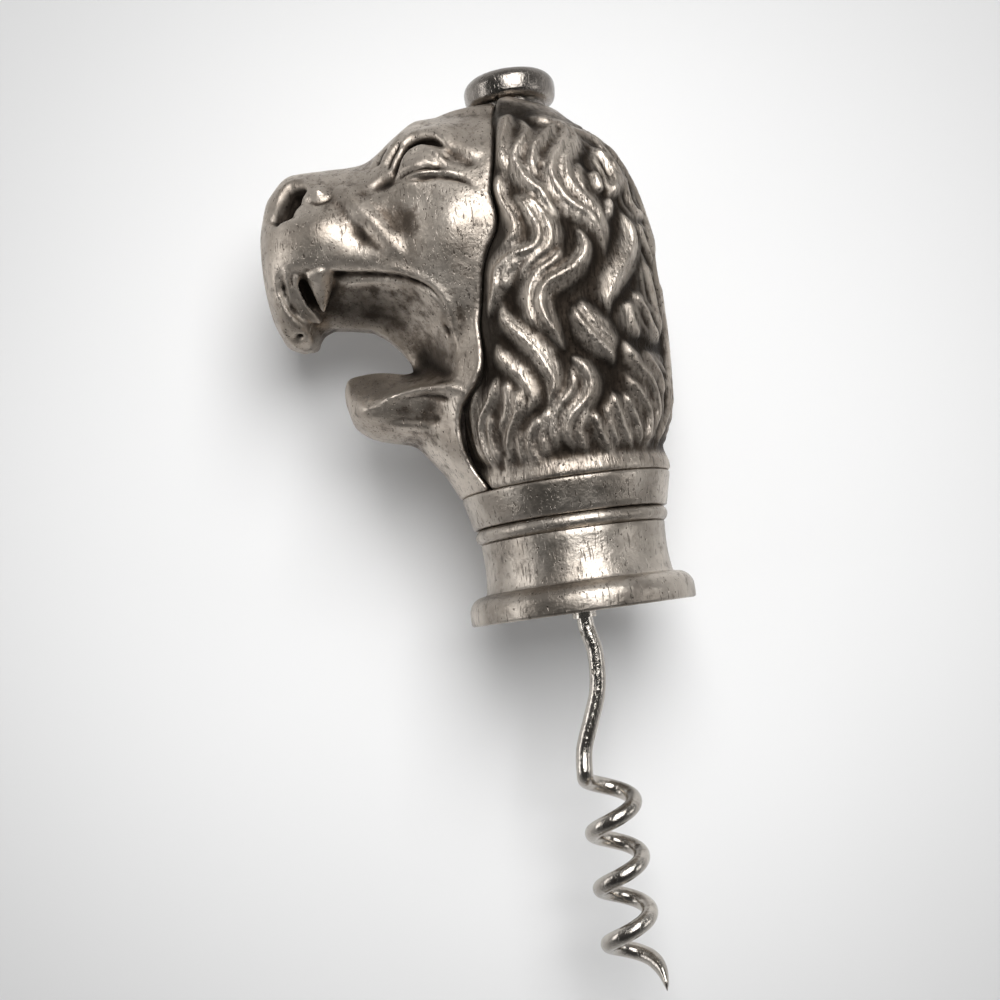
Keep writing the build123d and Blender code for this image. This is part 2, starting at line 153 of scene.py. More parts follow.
def drawn_out(rows, count=500):
    """A section table with a smooth, unwavering cubic between its rows."""
    table = np.array(rows, float)
    place = table[:, 0]
    fine = np.linspace(place[0], place[-1], count)
    out = [fine]
    step = np.diff(place)
    at = np.clip(np.searchsorted(place, fine) - 1, 0, len(place) - 2)
    share = (fine - place[at]) / step[at]
    for column in table.T[1:]:
        slope = np.diff(column) / step
        bend = np.zeros(len(place))
        same = slope[1:] * slope[:-1] > 0
        bend[1:-1][same] = 2 * slope[1:][same] * slope[:-1][same] / (slope[1:] + slope[:-1])[same]
        bend[0], bend[-1] = slope[0], slope[-1]
        out.append(bent(share, column[at], column[at + 1], bend[at] * step[at], bend[at + 1] * step[at]))
    return out


skull_table, jaw_table = drawn_out(skull_rows), drawn_out(jaw_rows)
throat_table, mane_table = drawn_out(throat_rows), drawn_out(mane_rows)


def section(table, place):
    """The sizes of a drawn-out table at a place."""
    return [np.interp(place, table[0], column) for column in table[1:]]


def oval(across, up, half_across, half_up):
    """Nearly the distance to an oval outline, less than nothing inside."""
    size = np.sqrt((across / half_across) ** 2 + (up / half_up) ** 2)
    pull = np.sqrt((across / half_across**2) ** 2 + (up / half_up**2) ** 2)
    return size * (size - 1) / np.maximum(pull, 1e-6)


def joined(a, b, blend):
    """Union of two solids with a fillet."""
    share = np.clip(0.5 + 0.5 * (b - a) / blend, 0, 1)
    return b + (a - b) * share - blend * share * (1 - share)


def kept(a, b, blend):
    """What two solids share, with its edge rounded."""
    return -joined(-a, -b, blend)


def ramp(low, high, value):
    """From 0 at low to 1 at high, eased at both ends."""
    share = np.clip((value - low) / (high - low), 0, 1)
    return share * share * (3 - 2 * share)


# Grid and casting, the grid's corners in millimetres
face_room = (-46.5, -20.0, 18.5), (4.0, 0.0, 86.5)
mane_room = (-17.0, -23.0, 18.5), (23.5, 0.0, 86.5)
# how far round a place its edges and its hollows are judged, in millimetres
rim_reach, hollow_reach = 0.5, 1.6


class Block:
    """A grid over the near half of a casting, where y is below zero."""

    def __init__(self, low, high):
        self.low = np.array(low, float)
        self.count = np.ceil((np.array(high) - self.low) / grain).astype(int)
        self.low[1] = -(self.count[1] - 0.5) * grain
        self.x, self.y, self.z = [
            (self.low[k] + np.arange(self.count[k]) * grain).reshape([-1 if k == n else 1 for n in range(3)])
            .astype(np.float32) for k in range(3)
        ]

    def read(self, field, points):
        """Value of a field at places in millimetres."""
        place = (np.asarray(points) - self.low) / grain
        return mixed(field, np.clip(place, 0, self.count - 1.001))

    def cast(self, field, pixels):
        """Where lines of sight first meet the solid, or pass nearest to it."""
        lines = sight(pixels)
        depths = np.arange(-26.0, 0.0, 0.2)
        reach = (depths[None, :] - eye[1]) / lines[:, 1][:, None]
        points = eye + lines[:, None, :] * reach[..., None]
        values = self.read(field, points)
        hits = []
        for row, value in zip(points, values):
            inside = np.nonzero(value < 0)[0]
            if len(inside) and inside[0] > 0:
                k = inside[0]
                share = value[k - 1] / (value[k - 1] - value[k])
                hits.append(row[k - 1] + (row[k] - row[k - 1]) * share)
            else:
                hits.append(row[np.argmin(value)])
        return np.array(hits)

    def around(self, path, reach):
        """The part of the grid within reach of a line of points."""
        low = np.maximum(((path.min(0) - reach - self.low) / grain).astype(int), 0)
        high = np.minimum(((path.max(0) + reach - self.low) / grain).astype(int) + 2, self.count)
        return tuple(slice(a, max(b, a + 1)) for a, b in zip(low, high))

    def nearness(self, path, spot):
        """Distance to a line of points, and how far along it, over one part of the grid."""
        x, y, z = self.x[spot[0]], self.y[:, spot[1]], self.z[:, :, spot[2]]
        lengths = np.linalg.norm(np.diff(path, axis=0), axis=1)
        marks = np.concatenate([[0], np.cumsum(lengths)]) / max(lengths.sum(), 1e-6)
        best, along = None, None
        for a, b, s, e in zip(path, path[1:], marks, marks[1:]):
            run = b - a
            size = max(float(run @ run), 1e-9)
            dx, dy, dz = x - a[0], y - a[1], z - a[2]
            dot = dx * run[0] + dy * run[1] + dz * run[2]
            share = np.clip(dot / size, 0, 1)
            gap = dx * dx + dy * dy + dz * dz - 2 * share * dot + share * share * size
            if best is None:
                best, along = gap, s + share * (e - s)
            else:
                nearer = gap < best
                best = np.where(nearer, gap, best)
                along = np.where(nearer, s + share * (e - s), along)
        return np.sqrt(np.maximum(best, 0)), along


def eased(points, step):
    """A smooth line through measured points, one point every step."""
    points = np.asarray(points, float)
    if len(points) == 1:
        return np.vstack([points, points + 0.01])
    ends = np.vstack([2 * points[0] - points[1], points, 2 * points[-1] - points[-2]])
    out = []
    for p, a, b, n in zip(ends, ends[1:], ends[2:], ends[3:]):
        count = max(int(np.linalg.norm(b - a) / step), 1)
        share = (np.arange(count) / count)[:, None]
        out.append(0.5 * (2 * a + (b - p) * share + (2 * p - 5 * a + 4 * b - n) * share**2
                          + (3 * a - p - 3 * b + n) * share**3))
    return np.vstack(out + [points[-1:]])


def softened(field):
    """A field with its smallest steps smoothed away."""
    for axis in range(3):
        padded = np.concatenate([field.take([0], axis), field, field.take([-1], axis)], axis)
        count = field.shape[axis]
        field = (padded.take(range(count), axis) + 2 * padded.take(range(1, count + 1), axis)
                 + padded.take(range(2, count + 2), axis)) / 4
    return field


def evened(field):
    """The same surface with the field made to grow a millimetre a millimetre."""
    slopes = np.gradient(field, grain)
    return (field / np.clip(np.sqrt(sum(s * s for s in slopes)), 0.5, 4)).astype(np.float32)


def averaged(solid, reach):
    """Share of metal within a few grid steps, two box passes each way."""
    steps = max(int(round(reach / grain)), 1)
    for axis in range(3):
        for _ in range(2):
            pad = [(0, 0)] * 3
            pad[axis] = (steps + 1, steps)
            total = np.cumsum(np.pad(solid, pad, mode="edge"), axis=axis, dtype=np.float64)
            count = solid.shape[axis]
            solid = ((total.take(range(2 * steps + 1, 2 * steps + 1 + count), axis)
                      - total.take(range(count), axis)) / (2 * steps + 1)).astype(np.float32)
    return solid


def mirrored(half):
    return np.concatenate([half, half[:, ::-1]], axis=1)


def mixed(field, place):
    """Value of a field between grid points, by straight-line weights."""
    base = place.astype(int)
    part = place - base
    total = 0
    for corner in range(8):
        step = np.array([corner & 1, corner >> 1 & 1, corner >> 2 & 1])
        weight = np.prod(np.where(step, part, 1 - part), axis=-1)
        spot = base + step
        total = total + weight * field[spot[..., 0], spot[..., 1], spot[..., 2]]
    return total


def turned_in(points, quads):
    """Whether a closed mesh has its faces turned inwards."""
    a, b, c = points[quads[:, 0]], points[quads[:, 1]], points[quads[:, 2]]
    middle = points.mean(0)
    return np.einsum("ij,ij->i", np.cross(b - a, c - a), a - middle).sum() < 0


def meshed(name, block, field, depth):
    """Mirror a half field, mesh it, and store how exposed, hollow and deep each place is."""
    whole = mirrored(field)
    bound = 3 * grain
    grid = openvdb.FloatGrid(bound)
    grid.copyFromArray(np.clip(whole, -bound, bound).astype(np.float32))
    points, quads = grid.convertToQuads(0.0)
    quads = quads[:, ::-1] if turned_in(points, quads) else quads
    spots = block.low + points * grain
    mesh = bpy.data.meshes.new(name)
    mesh.vertices.add(len(points))
    mesh.vertices.foreach_set("co", (spots * mm).astype(np.float32).ravel())
    mesh.loops.add(4 * len(quads))
    mesh.loops.foreach_set("vertex_index", quads.astype(np.int32).ravel())
    mesh.polygons.add(len(quads))
    mesh.polygons.foreach_set("loop_start", np.arange(0, 4 * len(quads), 4, dtype=np.int32))
    mesh.polygons.foreach_set("use_smooth", np.ones(len(quads), bool))
    mesh.update(calc_edges=True)
    mesh.validate()
    solid = np.clip(0.5 - whole / (2 * grain), 0, 1)
    place = np.clip(points, 0, np.array(whole.shape) - 1.001)
    shares = {"rim": averaged(solid, rim_reach), "hollow": averaged(solid, hollow_reach)}
    for label, values in {**shares, "depth": mirrored(depth)}.items():
        layer = mesh.attributes.new(label, "FLOAT", "POINT")
        layer.data.foreach_set("value", mixed(values, place).astype(np.float32))
    return linked(name, mesh)


# Measured lines (picture points)
# the deep groove between face and mane, top to bottom
groove_line = [
    (497, 100), (495, 113), (495, 140), (494, 165), (492, 190), (498, 212), (497, 230), (489, 248),
    (484, 270), (483, 300), (481, 325), (484, 350), (483, 370), (477, 384), (470, 394), (463, 406),
    (461, 420), (463, 440), (469, 456), (477, 470), (486, 482), (496, 496),
]
# the mouth: roof from the hooked tip back to the corner, then floor; millimetres (x, z)
web_gap = [
    (-60, 48.2), (-38.3, 48.2), (-36.9, 49.2), (-35.7, 50.7), (-34.1, 51.3), (-31.4, 50.9), (-27.7, 50.1),
    (-25.4, 48.4), (-23.4, 46.1), (-22.2, 44.0), (-21.9, 42.2), (-23.3, 42.1), (-26.8, 42.9), (-29.7, 43.5),
    (-31.6, 43.2), (-33.4, 42.4), (-60, 41.0),
]
lip_gap = [
    (-60, 46.5), (-37.2, 47.9), (-37.0, 49.4), (-38.3, 50.8), (-39.6, 52.6), (-40.5, 54.8), (-41.0, 57.2),
    (-40.9, 59.4), (-39.6, 59.9), (-36.7, 59.9), (-32.0, 59.5), (-29.0, 58.8), (-25.1, 57.9), (-21.4, 56.1),
    (-18.9, 54.3), (-17.2, 52.0), (-15.3, 47.8), (-14.6, 43.0), (-14.9, 39.2), (-16.6, 38.3), (-20.8, 38.3),
    (-25.7, 37.6), (-29.9, 36.4), (-60, 33.0),
]
# the web of metal in the middle of the mouth, how it flares to the lips, and the lips' edge
web_half_width, lip_flare, lip_edge = 1.8, 1.15, 0.7
# swellings of the face: middle, reach in millimetres, height in millimetres
face_swells = [
    ((322, 232), 4.6, 1.15),
    ((300, 238), 4.2, 0.35),
    ((456, 216), 6.0, 1.35),
    ((440, 245), 5.0, 0.45),
    ((418, 166), 3.0, 1.0),
    ((440, 134), 4.2, 0.9),
    ((402, 140), 2.6, 0.5),
    ((368, 405), 3.0, 0.7),
    ((355, 392), 2.4, 0.35),
    ((402, 218), 3.8, -1.25),
    ((386, 204), 2.6, -0.4),
    ((362, 236), 2.3, -0.5),
    ((386, 181), 1.5, -2.8),
    ((378, 186), 1.3, -1.4),
    ((430, 411), 3.2, -1.1),
    ((404, 411), 3.0, -1.0),
]
# ridges and cuts of the face: points, half width, height, in millimetres
face_lines = [
    ([(270, 226), (271, 212), (275, 198), (282, 187), (291, 181), (300, 180), (307, 184), (310, 193),
      (305, 200)], 0.6, 0.25),
    ([(275, 226), (277, 216), (280, 207), (285, 199), (292, 193), (300, 190), (307, 189)], 2.5, -4.2),
    ([(277, 214), (281, 204), (288, 197), (296, 193)], 0.9, -2.6),
    ([(278, 228), (283, 220), (289, 212), (296, 205), (303, 200)], 0.7, 0.2),
    ([(318, 193)], 0.85, 0.95),
    ([(304, 199), (311, 202), (320, 203), (328, 200), (335, 193)], 0.45, -0.5),
    ([(336, 186), (348, 197), (362, 211), (378, 227), (394, 245), (406, 258)], 2.0, 0.55),
    ([(334, 196), (341, 209), (348, 221), (358, 232), (372, 243), (388, 254)], 1.3, -0.35),
    ([(356, 190), (370, 201), (385, 217), (398, 234)], 1.2, -0.3),
    # brow, folds and lids
    ([(398, 152), (403, 142), (411, 134), (421, 132), (432, 135), (441, 141), (452, 148)], 0.7, 0.35),
    ([(424, 127), (437, 130), (449, 137), (460, 145), (471, 150), (484, 153)], 2.2, 0.4),
    ([(393, 181), (394, 170), (398, 159), (404, 149), (413, 142), (424, 139), (436, 141), (446, 148)], 0.8,
      -1.9),
    ([(446, 148), (456, 156), (468, 161), (480, 166)], 0.6, -0.5),
    ([(381, 168), (385, 157), (391, 147), (398, 137), (405, 129)], 0.5, 0.3),
    ([(386, 172), (389, 160), (395, 149), (402, 138)], 0.5, -0.9),
    ([(377, 167), (381, 156), (388, 146)], 0.45, -0.5),
    ([(372, 168), (376, 160), (383, 150)], 0.6, 0.35),
    ([(398, 172), (404, 160), (412, 151), (421, 147), (431, 151), (441, 159), (449, 166)], 0.6, 0.55),
    ([(420, 152), (425, 159), (434, 166)], 0.55, 0.4),
    ([(440, 154), (450, 160), (462, 163), (474, 166)], 0.35, -0.35),
    ([(395, 180), (403, 174), (413, 170), (424, 168), (437, 168), (450, 169)], 0.45, -0.8),
    ([(397, 184), (410, 177), (424, 172), (438, 172), (452, 173), (463, 176)], 0.55, 0.55),
    ([(390, 186), (402, 181), (413, 178), (424, 177), (436, 175), (447, 176), (458, 178), (468, 182),
      (480, 189)], 0.4, -0.75),
    ([(372, 195), (382, 190), (393, 187), (406, 184), (420, 182)], 0.6, 0.35),
    ([(428, 190), (436, 200), (431, 209)], 0.35, -0.2),
    # chin, lower lip and the sunk panel
    ([(360, 404), (368, 404), (377, 402), (386, 399)], 0.5, -0.8),
    ([(352, 383), (362, 379), (376, 380), (392, 381), (412, 379), (432, 376), (446, 373)], 0.7, 0.5),
    ([(366, 396), (377, 393), (390, 391), (402, 387), (414, 384), (430, 381), (446, 380), (455, 378)], 0.65,
      -1.6),
    ([(366, 401), (378, 399), (390, 396), (403, 393), (417, 390), (431, 388), (445, 387), (457, 389),
      (467, 394)], 1.0, 0.95),
    ([(396, 398), (409, 397), (420, 396), (431, 396), (443, 398), (455, 402)], 0.5, -0.65),
    ([(388, 421), (400, 420), (415, 420), (430, 421), (441, 423)], 0.45, -0.35),
    ([(392, 425), (410, 426), (428, 427)], 0.8, 0.3),
    ([(437, 419)], 0.4, -0.7),
    ([(366, 415), (374, 413), (381, 409)], 0.4, -0.3),
    # lines across the forehead
    ([(404, 127), (418, 124), (434, 126), (448, 130), (462, 136)], 0.45, -0.2),
    ([(455, 150), (466, 156), (478, 160)], 0.35, -0.25),
]
# how strongly the inside of the mouth (tarnish and painted shade) and the nostril (painted shade) are painted
# dark; cuts deeper than nostril_height belong to the nostril
mouth_shade_and_tarnish, nostril_shade = 0.36, 3.0
nostril_height = -2.5
# how near to the surface a line has to run to mark it, outside and in the mouth
face_line_reach, mouth_line_reach = 3.5, 3.0
# lines inside the open mouth, laid on the wall once it has been cut
mouth_lines = [
    ([(284, 270), (300, 267), (325, 267), (352, 267), (378, 268), (400, 270), (418, 277), (434, 288),
      (446, 302), (454, 320), (457, 340), (456, 360)], 0.7, 0.35),
    ([(300, 275), (325, 275), (352, 275), (378, 276), (398, 278), (414, 282), (430, 290), (442, 304),
      (449, 320), (452, 338)], 0.6, -0.9),
    ([(338, 283), (352, 282), (376, 281), (396, 282), (412, 286), (427, 292), (439, 302), (447, 314),
      (452, 328), (454, 344)], 0.5, 0.55),
    ([(340, 290), (362, 289), (386, 291), (406, 296), (424, 305), (436, 318), (443, 334)], 0.5, -0.35),
    ([(352, 303), (380, 303), (402, 309), (420, 321), (431, 338), (436, 356)], 0.45, 0.2),
    ([(352, 315), (378, 315), (398, 321), (414, 334), (424, 350), (428, 366)], 0.45, -0.18),
    ([(340, 323), (364, 324), (386, 330), (404, 343), (415, 358), (421, 372)], 0.5, 0.2),
    ([(443, 324), (447, 332), (449, 338)], 0.5, -0.8),
    ([(283, 280), (284, 292), (289, 304), (297, 314), (304, 322)], 0.6, -0.9),
    ([(301, 279), (303, 290), (308, 302), (314, 312)], 0.55, -1.2),
    ([(296, 336), (302, 341)], 1.2, -0.8),
    ([(280, 326), (290, 341), (303, 350), (313, 350)], 0.4, 0.3),
]
# narrow teeth: points, then in millimetres the depths of root and tip and the radius
front_teeth = [
    ([(287, 272), (288, 283), (292, 295), (299, 306), (308, 315), (320, 323)], -10.6, -5.0, 0.5),
    ([(296, 277), (297, 288), (302, 299), (310, 310), (321, 321)], -10.3, -4.8, 0.42),
]
tooth_taper = 0.35
# the canine: where its root and tip are, and its sizes in millimetres
fang_root, fang_tip = (321, 273), (324, 317)
fang_root_depth, fang_tip_depth = -10.3, -6.2
fang_half_width, fang_point, fang_flatness = 2.35, 0.12, 0.8
# how it narrows on the way down, and its shape across, from a diamond (1) to an oval (2)
fang_taper, fang_roundness = 1.15, 1.5
gum_scallops = [
    [(306, 277), (311, 281), (316, 287), (322, 291)],
    [(337, 277), (334, 284), (329, 290), (324, 292)],
]
scallop_depth, scallop_radius = -11.0, 0.24
# locks of the mane, each along its crest: points, half width, height
mane_locks = [
    ([(506, 114), (501, 130), (500, 145), (502, 160), (505, 172)], 1.15, 1.45),
    ([(500, 163), (496, 175), (495, 187), (499, 199), (505, 207), (510, 215), (513, 224), (511, 232),
      (508, 238), (500, 243), (493, 248)], 0.85, 1.3),
    ([(508, 184), (515, 193), (523, 201), (531, 213), (537, 223), (539, 231), (538, 238), (533, 245),
      (524, 249), (513, 252), (506, 257), (500, 262), (495, 268), (493, 276), (493, 285), (491, 292),
      (488, 300), (485, 308), (483, 316), (484, 323)], 0.85, 1.5),
    ([(527, 124), (521, 135), (514, 146), (513, 154), (517, 164), (523, 173), (532, 181), (541, 187),
      (546, 195), (552, 203), (559, 211), (564, 222)], 0.9, 1.5),
    ([(556, 118), (548, 127), (542, 134), (535, 139), (533, 147), (532, 156), (534, 163), (538, 170),
      (543, 181)], 0.8, 1.35),
    ([(540, 150), (543, 158), (545, 163)], 0.5, 1.0),
    ([(560, 117), (567, 124), (568, 133), (562, 142), (556, 150), (552, 163), (555, 175), (561, 186),
      (570, 197), (582, 205), (592, 210), (601, 222), (608, 236), (611, 250), (610, 262)], 0.8, 1.5),
    ([(570, 121), (576, 128), (578, 134), (573, 143), (568, 153), (568, 163), (572, 176), (579, 186),
      (589, 195), (598, 204), (606, 214), (612, 229), (613, 241), (611, 252)], 0.8, 1.35),
    ([(584, 154), (582, 167), (584, 177), (588, 187), (594, 194), (601, 201), (607, 208), (612, 215)], 0.5,
      1.15),
    ([(594, 143), (600, 146), (607, 154), (613, 162), (617, 170), (619, 180), (618, 189), (612, 192)], 0.55,
      1.7),
    ([(598, 165), (601, 173), (604, 182), (607, 190)], 0.95, 1.35),
    ([(613, 192), (616, 200), (615, 208), (612, 214)], 0.6, 1.2),
    ([(593, 130), (606, 141), (616, 153), (624, 165), (628, 178), (628, 198)], 0.7, 1.25),
    ([(604, 131), (617, 143), (628, 157), (635, 172), (640, 190)], 0.6, 1.05),
    ([(630, 168), (632, 180), (637, 199), (643, 208), (650, 214), (654, 225)], 0.7, 1.2),
    ([(640, 185), (648, 200), (653, 215)], 0.6, 1.1),
    ([(627, 203), (630, 212), (635, 222), (638, 234), (636, 247), (629, 261), (621, 273), (615, 287),
      (613, 299), (616, 316)], 0.85, 1.5),
    ([(577, 222), (585, 230), (589, 241), (585, 254), (576, 264), (562, 272), (549, 279), (541, 290),
      (540, 303), (545, 316), (555, 330), (562, 343), (569, 353)], 0.9, 1.6),
    ([(570, 354), (580, 360), (588, 367), (594, 381), (592, 392), (583, 405), (571, 416), (567, 430),
      (571, 444), (580, 457)], 0.85, 1.45),
    ([(567, 238), (561, 251), (551, 261), (541, 267), (533, 277), (528, 289), (527, 303), (530, 316),
      (538, 327), (549, 337)], 0.75, 1.3),
    ([(515, 184), (526, 193), (536, 202), (544, 212), (550, 224), (552, 234), (547, 246), (537, 253),
      (527, 262), (520, 274), (515, 288)], 0.75, 1.3),
    ([(521, 254), (510, 262), (503, 272), (501, 284), (503, 293)], 0.8, 1.35),
    ([(500, 298), (498, 309), (504, 321), (515, 331), (527, 342), (538, 354), (547, 367), (553, 379),
      (553, 392), (549, 404), (544, 416)], 0.85, 1.5),
    ([(490, 340), (497, 357), (507, 367), (518, 375), (526, 386), (532, 397), (528, 409), (521, 423)], 0.8,
      1.35),
    ([(499, 377), (503, 388), (504, 402), (502, 415), (497, 428), (494, 440)], 0.95, 1.2),
    ([(508, 384), (513, 395), (515, 408), (512, 420), (507, 432), (505, 445), (507, 458), (509, 470)], 0.6,
      1.5),
    ([(516, 385), (519, 395), (520, 408), (517, 418), (514, 426)], 0.5, 1.2),
    ([(488, 412), (485, 424), (485, 438), (488, 450), (493, 462), (496, 471)], 0.6, 1.25),
    ([(492, 372), (488, 392), (483, 406), (477, 417), (475, 428), (477, 442), (483, 458), (490, 470),
      (496, 480)], 0.6, 1.4),
    ([(476, 383), (470, 394), (466, 406), (465, 420), (468, 438), (473, 454), (480, 466), (485, 477)], 0.55,
      1.1),
    ([(501, 457), (503, 466), (505, 474)], 0.5, 1.1),
    ([(518, 430), (517, 445), (519, 457), (525, 470)], 0.7, 1.2),
    ([(545, 414), (537, 421), (530, 430), (527, 441), (528, 452), (534, 461), (546, 471)], 0.8, 1.35),
    ([(549, 404), (546, 415), (542, 427), (542, 440), (545, 452), (551, 464)], 0.7, 1.3),
    ([(571, 362), (575, 376), (574, 387), (567, 397), (559, 406), (553, 420), (553, 433), (557, 448),
      (562, 460)], 0.75, 1.3),
    ([(575, 300), (579, 314), (588, 326), (600, 338), (611, 348), (618, 358), (619, 367)], 0.75, 1.35),
    ([(582, 294), (587, 306), (597, 319), (608, 329), (618, 340), (623, 353)], 0.6, 1.2),
    ([(595, 309), (603, 316), (611, 322), (616, 327)], 0.5, 1.0),
    ([(633, 296), (636, 306), (639, 318), (643, 328), (648, 338)], 0.7, 1.2),
    ([(639, 287), (646, 298), (653, 309), (658, 321), (664, 333), (669, 345)], 0.7, 1.25),
    ([(649, 252), (653, 267), (658, 284), (661, 298), (664, 312), (668, 327), (671, 340)], 0.8, 1.3),
    ([(643, 215), (648, 228), (653, 243), (658, 256), (660, 270)], 0.7, 1.2),
    ([(629, 334), (636, 350), (645, 365), (656, 376), (662, 390), (665, 406), (664, 424), (660, 440)], 0.8,
      1.4),
    ([(650, 346), (658, 360), (667, 373), (670, 388), (669, 404)], 0.7, 1.25),
    ([(671, 372), (675, 385), (677, 398), (676, 410), (672, 422), (668, 433), (663, 455)], 0.7, 1.25),
    ([(631, 371), (641, 385), (650, 398), (656, 411), (657, 424), (654, 440), (648, 454)], 0.75, 1.35),
    ([(630, 388), (634, 401), (640, 413), (645, 427), (646, 440), (644, 452)], 0.65, 1.25),
    ([(617, 388), (620, 402), (626, 419), (632, 435), (640, 453)], 0.7, 1.3),
    ([(610, 400), (613, 413), (616, 427), (621, 440), (625, 452)], 0.6, 1.15),
    ([(595, 408), (601, 424), (607, 439), (614, 452), (612, 460)], 0.7, 1.3),
    ([(591, 404), (586, 419), (582, 432), (586, 446), (589, 459)], 0.65, 1.2),
]
# locks down the back of the head, unseen in the photograph: (degrees from the middle of the back, height)
back_locks = [
    ([(3, 81), (6, 75), (2, 69), (6, 62), (10, 56), (5, 50)], 0.9, 1.35),
    ([(14, 79), (17, 72), (12, 66), (15, 59), (18, 52), (13, 46), (15, 40)], 0.85, 1.3),
    ([(4, 55), (1, 48), (5, 42), (10, 36), (6, 30), (8, 25)], 0.9, 1.4),
    ([(13, 50), (9, 44), (12, 37), (16, 31), (13, 25)], 0.8, 1.3),
    ([(1, 40), (3, 33), (1, 26)], 0.8, 1.25),
]
# depth of the ground between the locks, and what the locks' heights are multiplied by
relief = 2.0
lock_boost = 1.25
# heights over which the locks and the ground between them fade out at the mane's foot
lock_foot, relief_foot = (22.2, 25.5), (21.0, 25.5)
# distances from the spindle over which the ground sinks round the knob
knob_clearing = (7.0, 12.5)
# strands beside each lock: shift in picture points, share of its height
side_strands = ((7.0, 0.66), (-7.0, 0.62), (13.0, 0.46), (-13.0, 0.42))
strand_width_share = 0.7
# locks that start above this picture row begin nearer to the knob's foot
crown_row, crown_start_share = 133, 0.7
knob_foot_spot = np.array([515.0, 102.0])
# the flat pad on the crown and the well in it for the knob's washer, in millimetres
pad_middle, pad_half_length, pad_half_width, pad_top = -4.0, 7.6, 6.2, 83.4
well_radius, well_floor = 5.7, 83.1
# how steeply the well's floor cuts it off below
well_floor_weight = 100
# how far edges are rounded, in millimetres, and how softly the pad runs into the crown
muzzle_edge, jaw_edge, throat_edge = 1.2, 1.4, 2.0
pad_edge, crown_edge, foot_edge, well_edge = 1.6, 0.4, 0.25, 0.2
pad_blend = 2.5
# the groove's ends above and below the head, and how far each casting runs past it deeper in
groove_top, groove_foot, groove_lap = 95.0, 10.0, 0.5
# depths in millimetres, from where the groove starts to close: closed, lap begins, lap is whole
groove_closing, lap_start, lap_end = 1.2, 0.8, 1.8
# how far from a ridge it is still worked out: widths of it and millimetres
brush_reach, brush_margin = 2.6, 2.0
# shares of a ridge's length over which it rises and fades, its least height there, and how they bend
rise_share, fade_share, least_end, end_bend = 0.16, 0.22, 0.02, 0.6
# how steeply lines, the nostril's dark and swellings fall off; a swelling ends at swell_reach times its reach
line_sharpness, nostril_sharpness, swell_sharpness, swell_reach = 1.3, 0.8, 1.6, 2.2
# how far under the skin the nostril's dark begins, in millimetres
nostril_skin = 0.25
# a lock across: how its crest is rounded, what keeps that at full height, and how wide its foot spreads
crest_round, crest_lift, lock_spread = 0.12, 0.35, 1.3
# how far the bare ground of the mane lies under its outline everywhere, in millimetres
ground_sink = 0.25


def run_gap(x, z, a, b):
    """Square of the distance from side places to the straight run from a to b."""
    run = b - a
    share = np.clip(((x - a[0]) * run[0] + (z - a[1]) * run[1]) / (run @ run), 0, 1)
    return (x - a[0] - share * run[0]) ** 2 + (z - a[1] - share * run[1]) ** 2


def mouth_gap(block, outline):
    """Distance to a side outline, less than nothing inside the gap, on the grid's x and z."""
    x, z = block.x[:, 0, 0][:, None], block.z[0, 0][None, :]
    points = np.array(outline, float)
    inside = np.zeros((x.size, z.size), bool)
    gap = np.full((x.size, z.size), 1e9)
    for a, b in zip(points, np.roll(points, -1, axis=0)):
        gap = np.minimum(gap, run_gap(x, z, a, b))
        with np.errstate(divide="ignore", invalid="ignore"):
            crosses = ((a[1] > z) != (b[1] > z)) & (x < (b[0] - a[0]) * (z - a[1]) / (b[1] - a[1]) + a[0])
        inside ^= crosses
    return np.where(inside, -1, 1) * np.sqrt(gap)


def behind_line(block, line):
    """How far behind a side line each place of the grid is, on the grid's x and z."""
    x, z = block.x[:, 0, 0][:, None], block.z[0, 0][None, :]
    gap = np.full((x.size, z.size), 1e9)
    side = np.zeros((x.size, z.size))
    for a, b in zip(line, line[1:]):
        near = run_gap(x, z, a, b)
        cross = (x - a[0]) * (a[1] - b[1]) + (z - a[1]) * (b[0] - a[0])
        side = np.where(near < gap, cross, side)
        gap = np.minimum(gap, near)
    return (np.where(side > 0, 1, -1) * np.sqrt(gap))[:, None, :].astype(np.float32)


def crowned(body, x, y, z):
    """A body with the flat pad that carries the knob."""
    pad = kept(oval(x - pad_middle, y, pad_half_length, pad_half_width), z - pad_top, pad_edge)
    return kept(joined(body, pad, pad_blend), z - crown, crown_edge)


def face_form(x, y, z):
    """Skull, jaw and throat before any detail."""
    middle, tall, wide = section(skull_table, x)
    skull = kept(oval(z - middle, y, tall, wide), muzzle_front - x, muzzle_edge)
    middle, tall, wide = section(jaw_table, x)
    jaw = kept(oval(z - middle, y, tall, wide), jaw_front - x, jaw_edge)
    front, back, wide = section(throat_table, z)
    throat = kept(oval(x - (back - front) / 2, y, (back + front) / 2, wide), z - throat_top, throat_edge)
    return crowned(joined(joined(skull, jaw, mass_blend), throat, mass_blend), x, y, z)


def mane_form(x, y, z):
    """The mane's outline, which its locks reach."""
    middle, deep, wide = section(mane_table, z)
    return crowned(oval(x - middle, y, deep, wide), x, y, z)


def parted(block, field, outer, skin, side, gap, start, blend):
    """A casting finished with its side of the groove (-1 for the face), its foot and the washer's well."""
    line = block.cast(outer, eased(groove_line, 8.0))[:, [0, 2]]
    line = np.vstack([[line[0][0], groove_top], line, [line[-1][0] + 1.0, groove_foot]])
    shut = ramp(start, start + groove_closing, -skin)
    lap = groove_lap * ramp(start + lap_start, start + lap_end, -skin)
    field = kept(field, gap * (1 - shut) - lap - side * behind_line(block, line), blend)
    field = kept(field, head_base - block.z, foot_edge)
    under = np.maximum(well_floor - block.z, 0) ** 2 * well_floor_weight
    outside = np.sqrt(block.x**2 + block.y**2 + under)
    return softened(evened(kept(field, well_radius - outside, well_edge)))


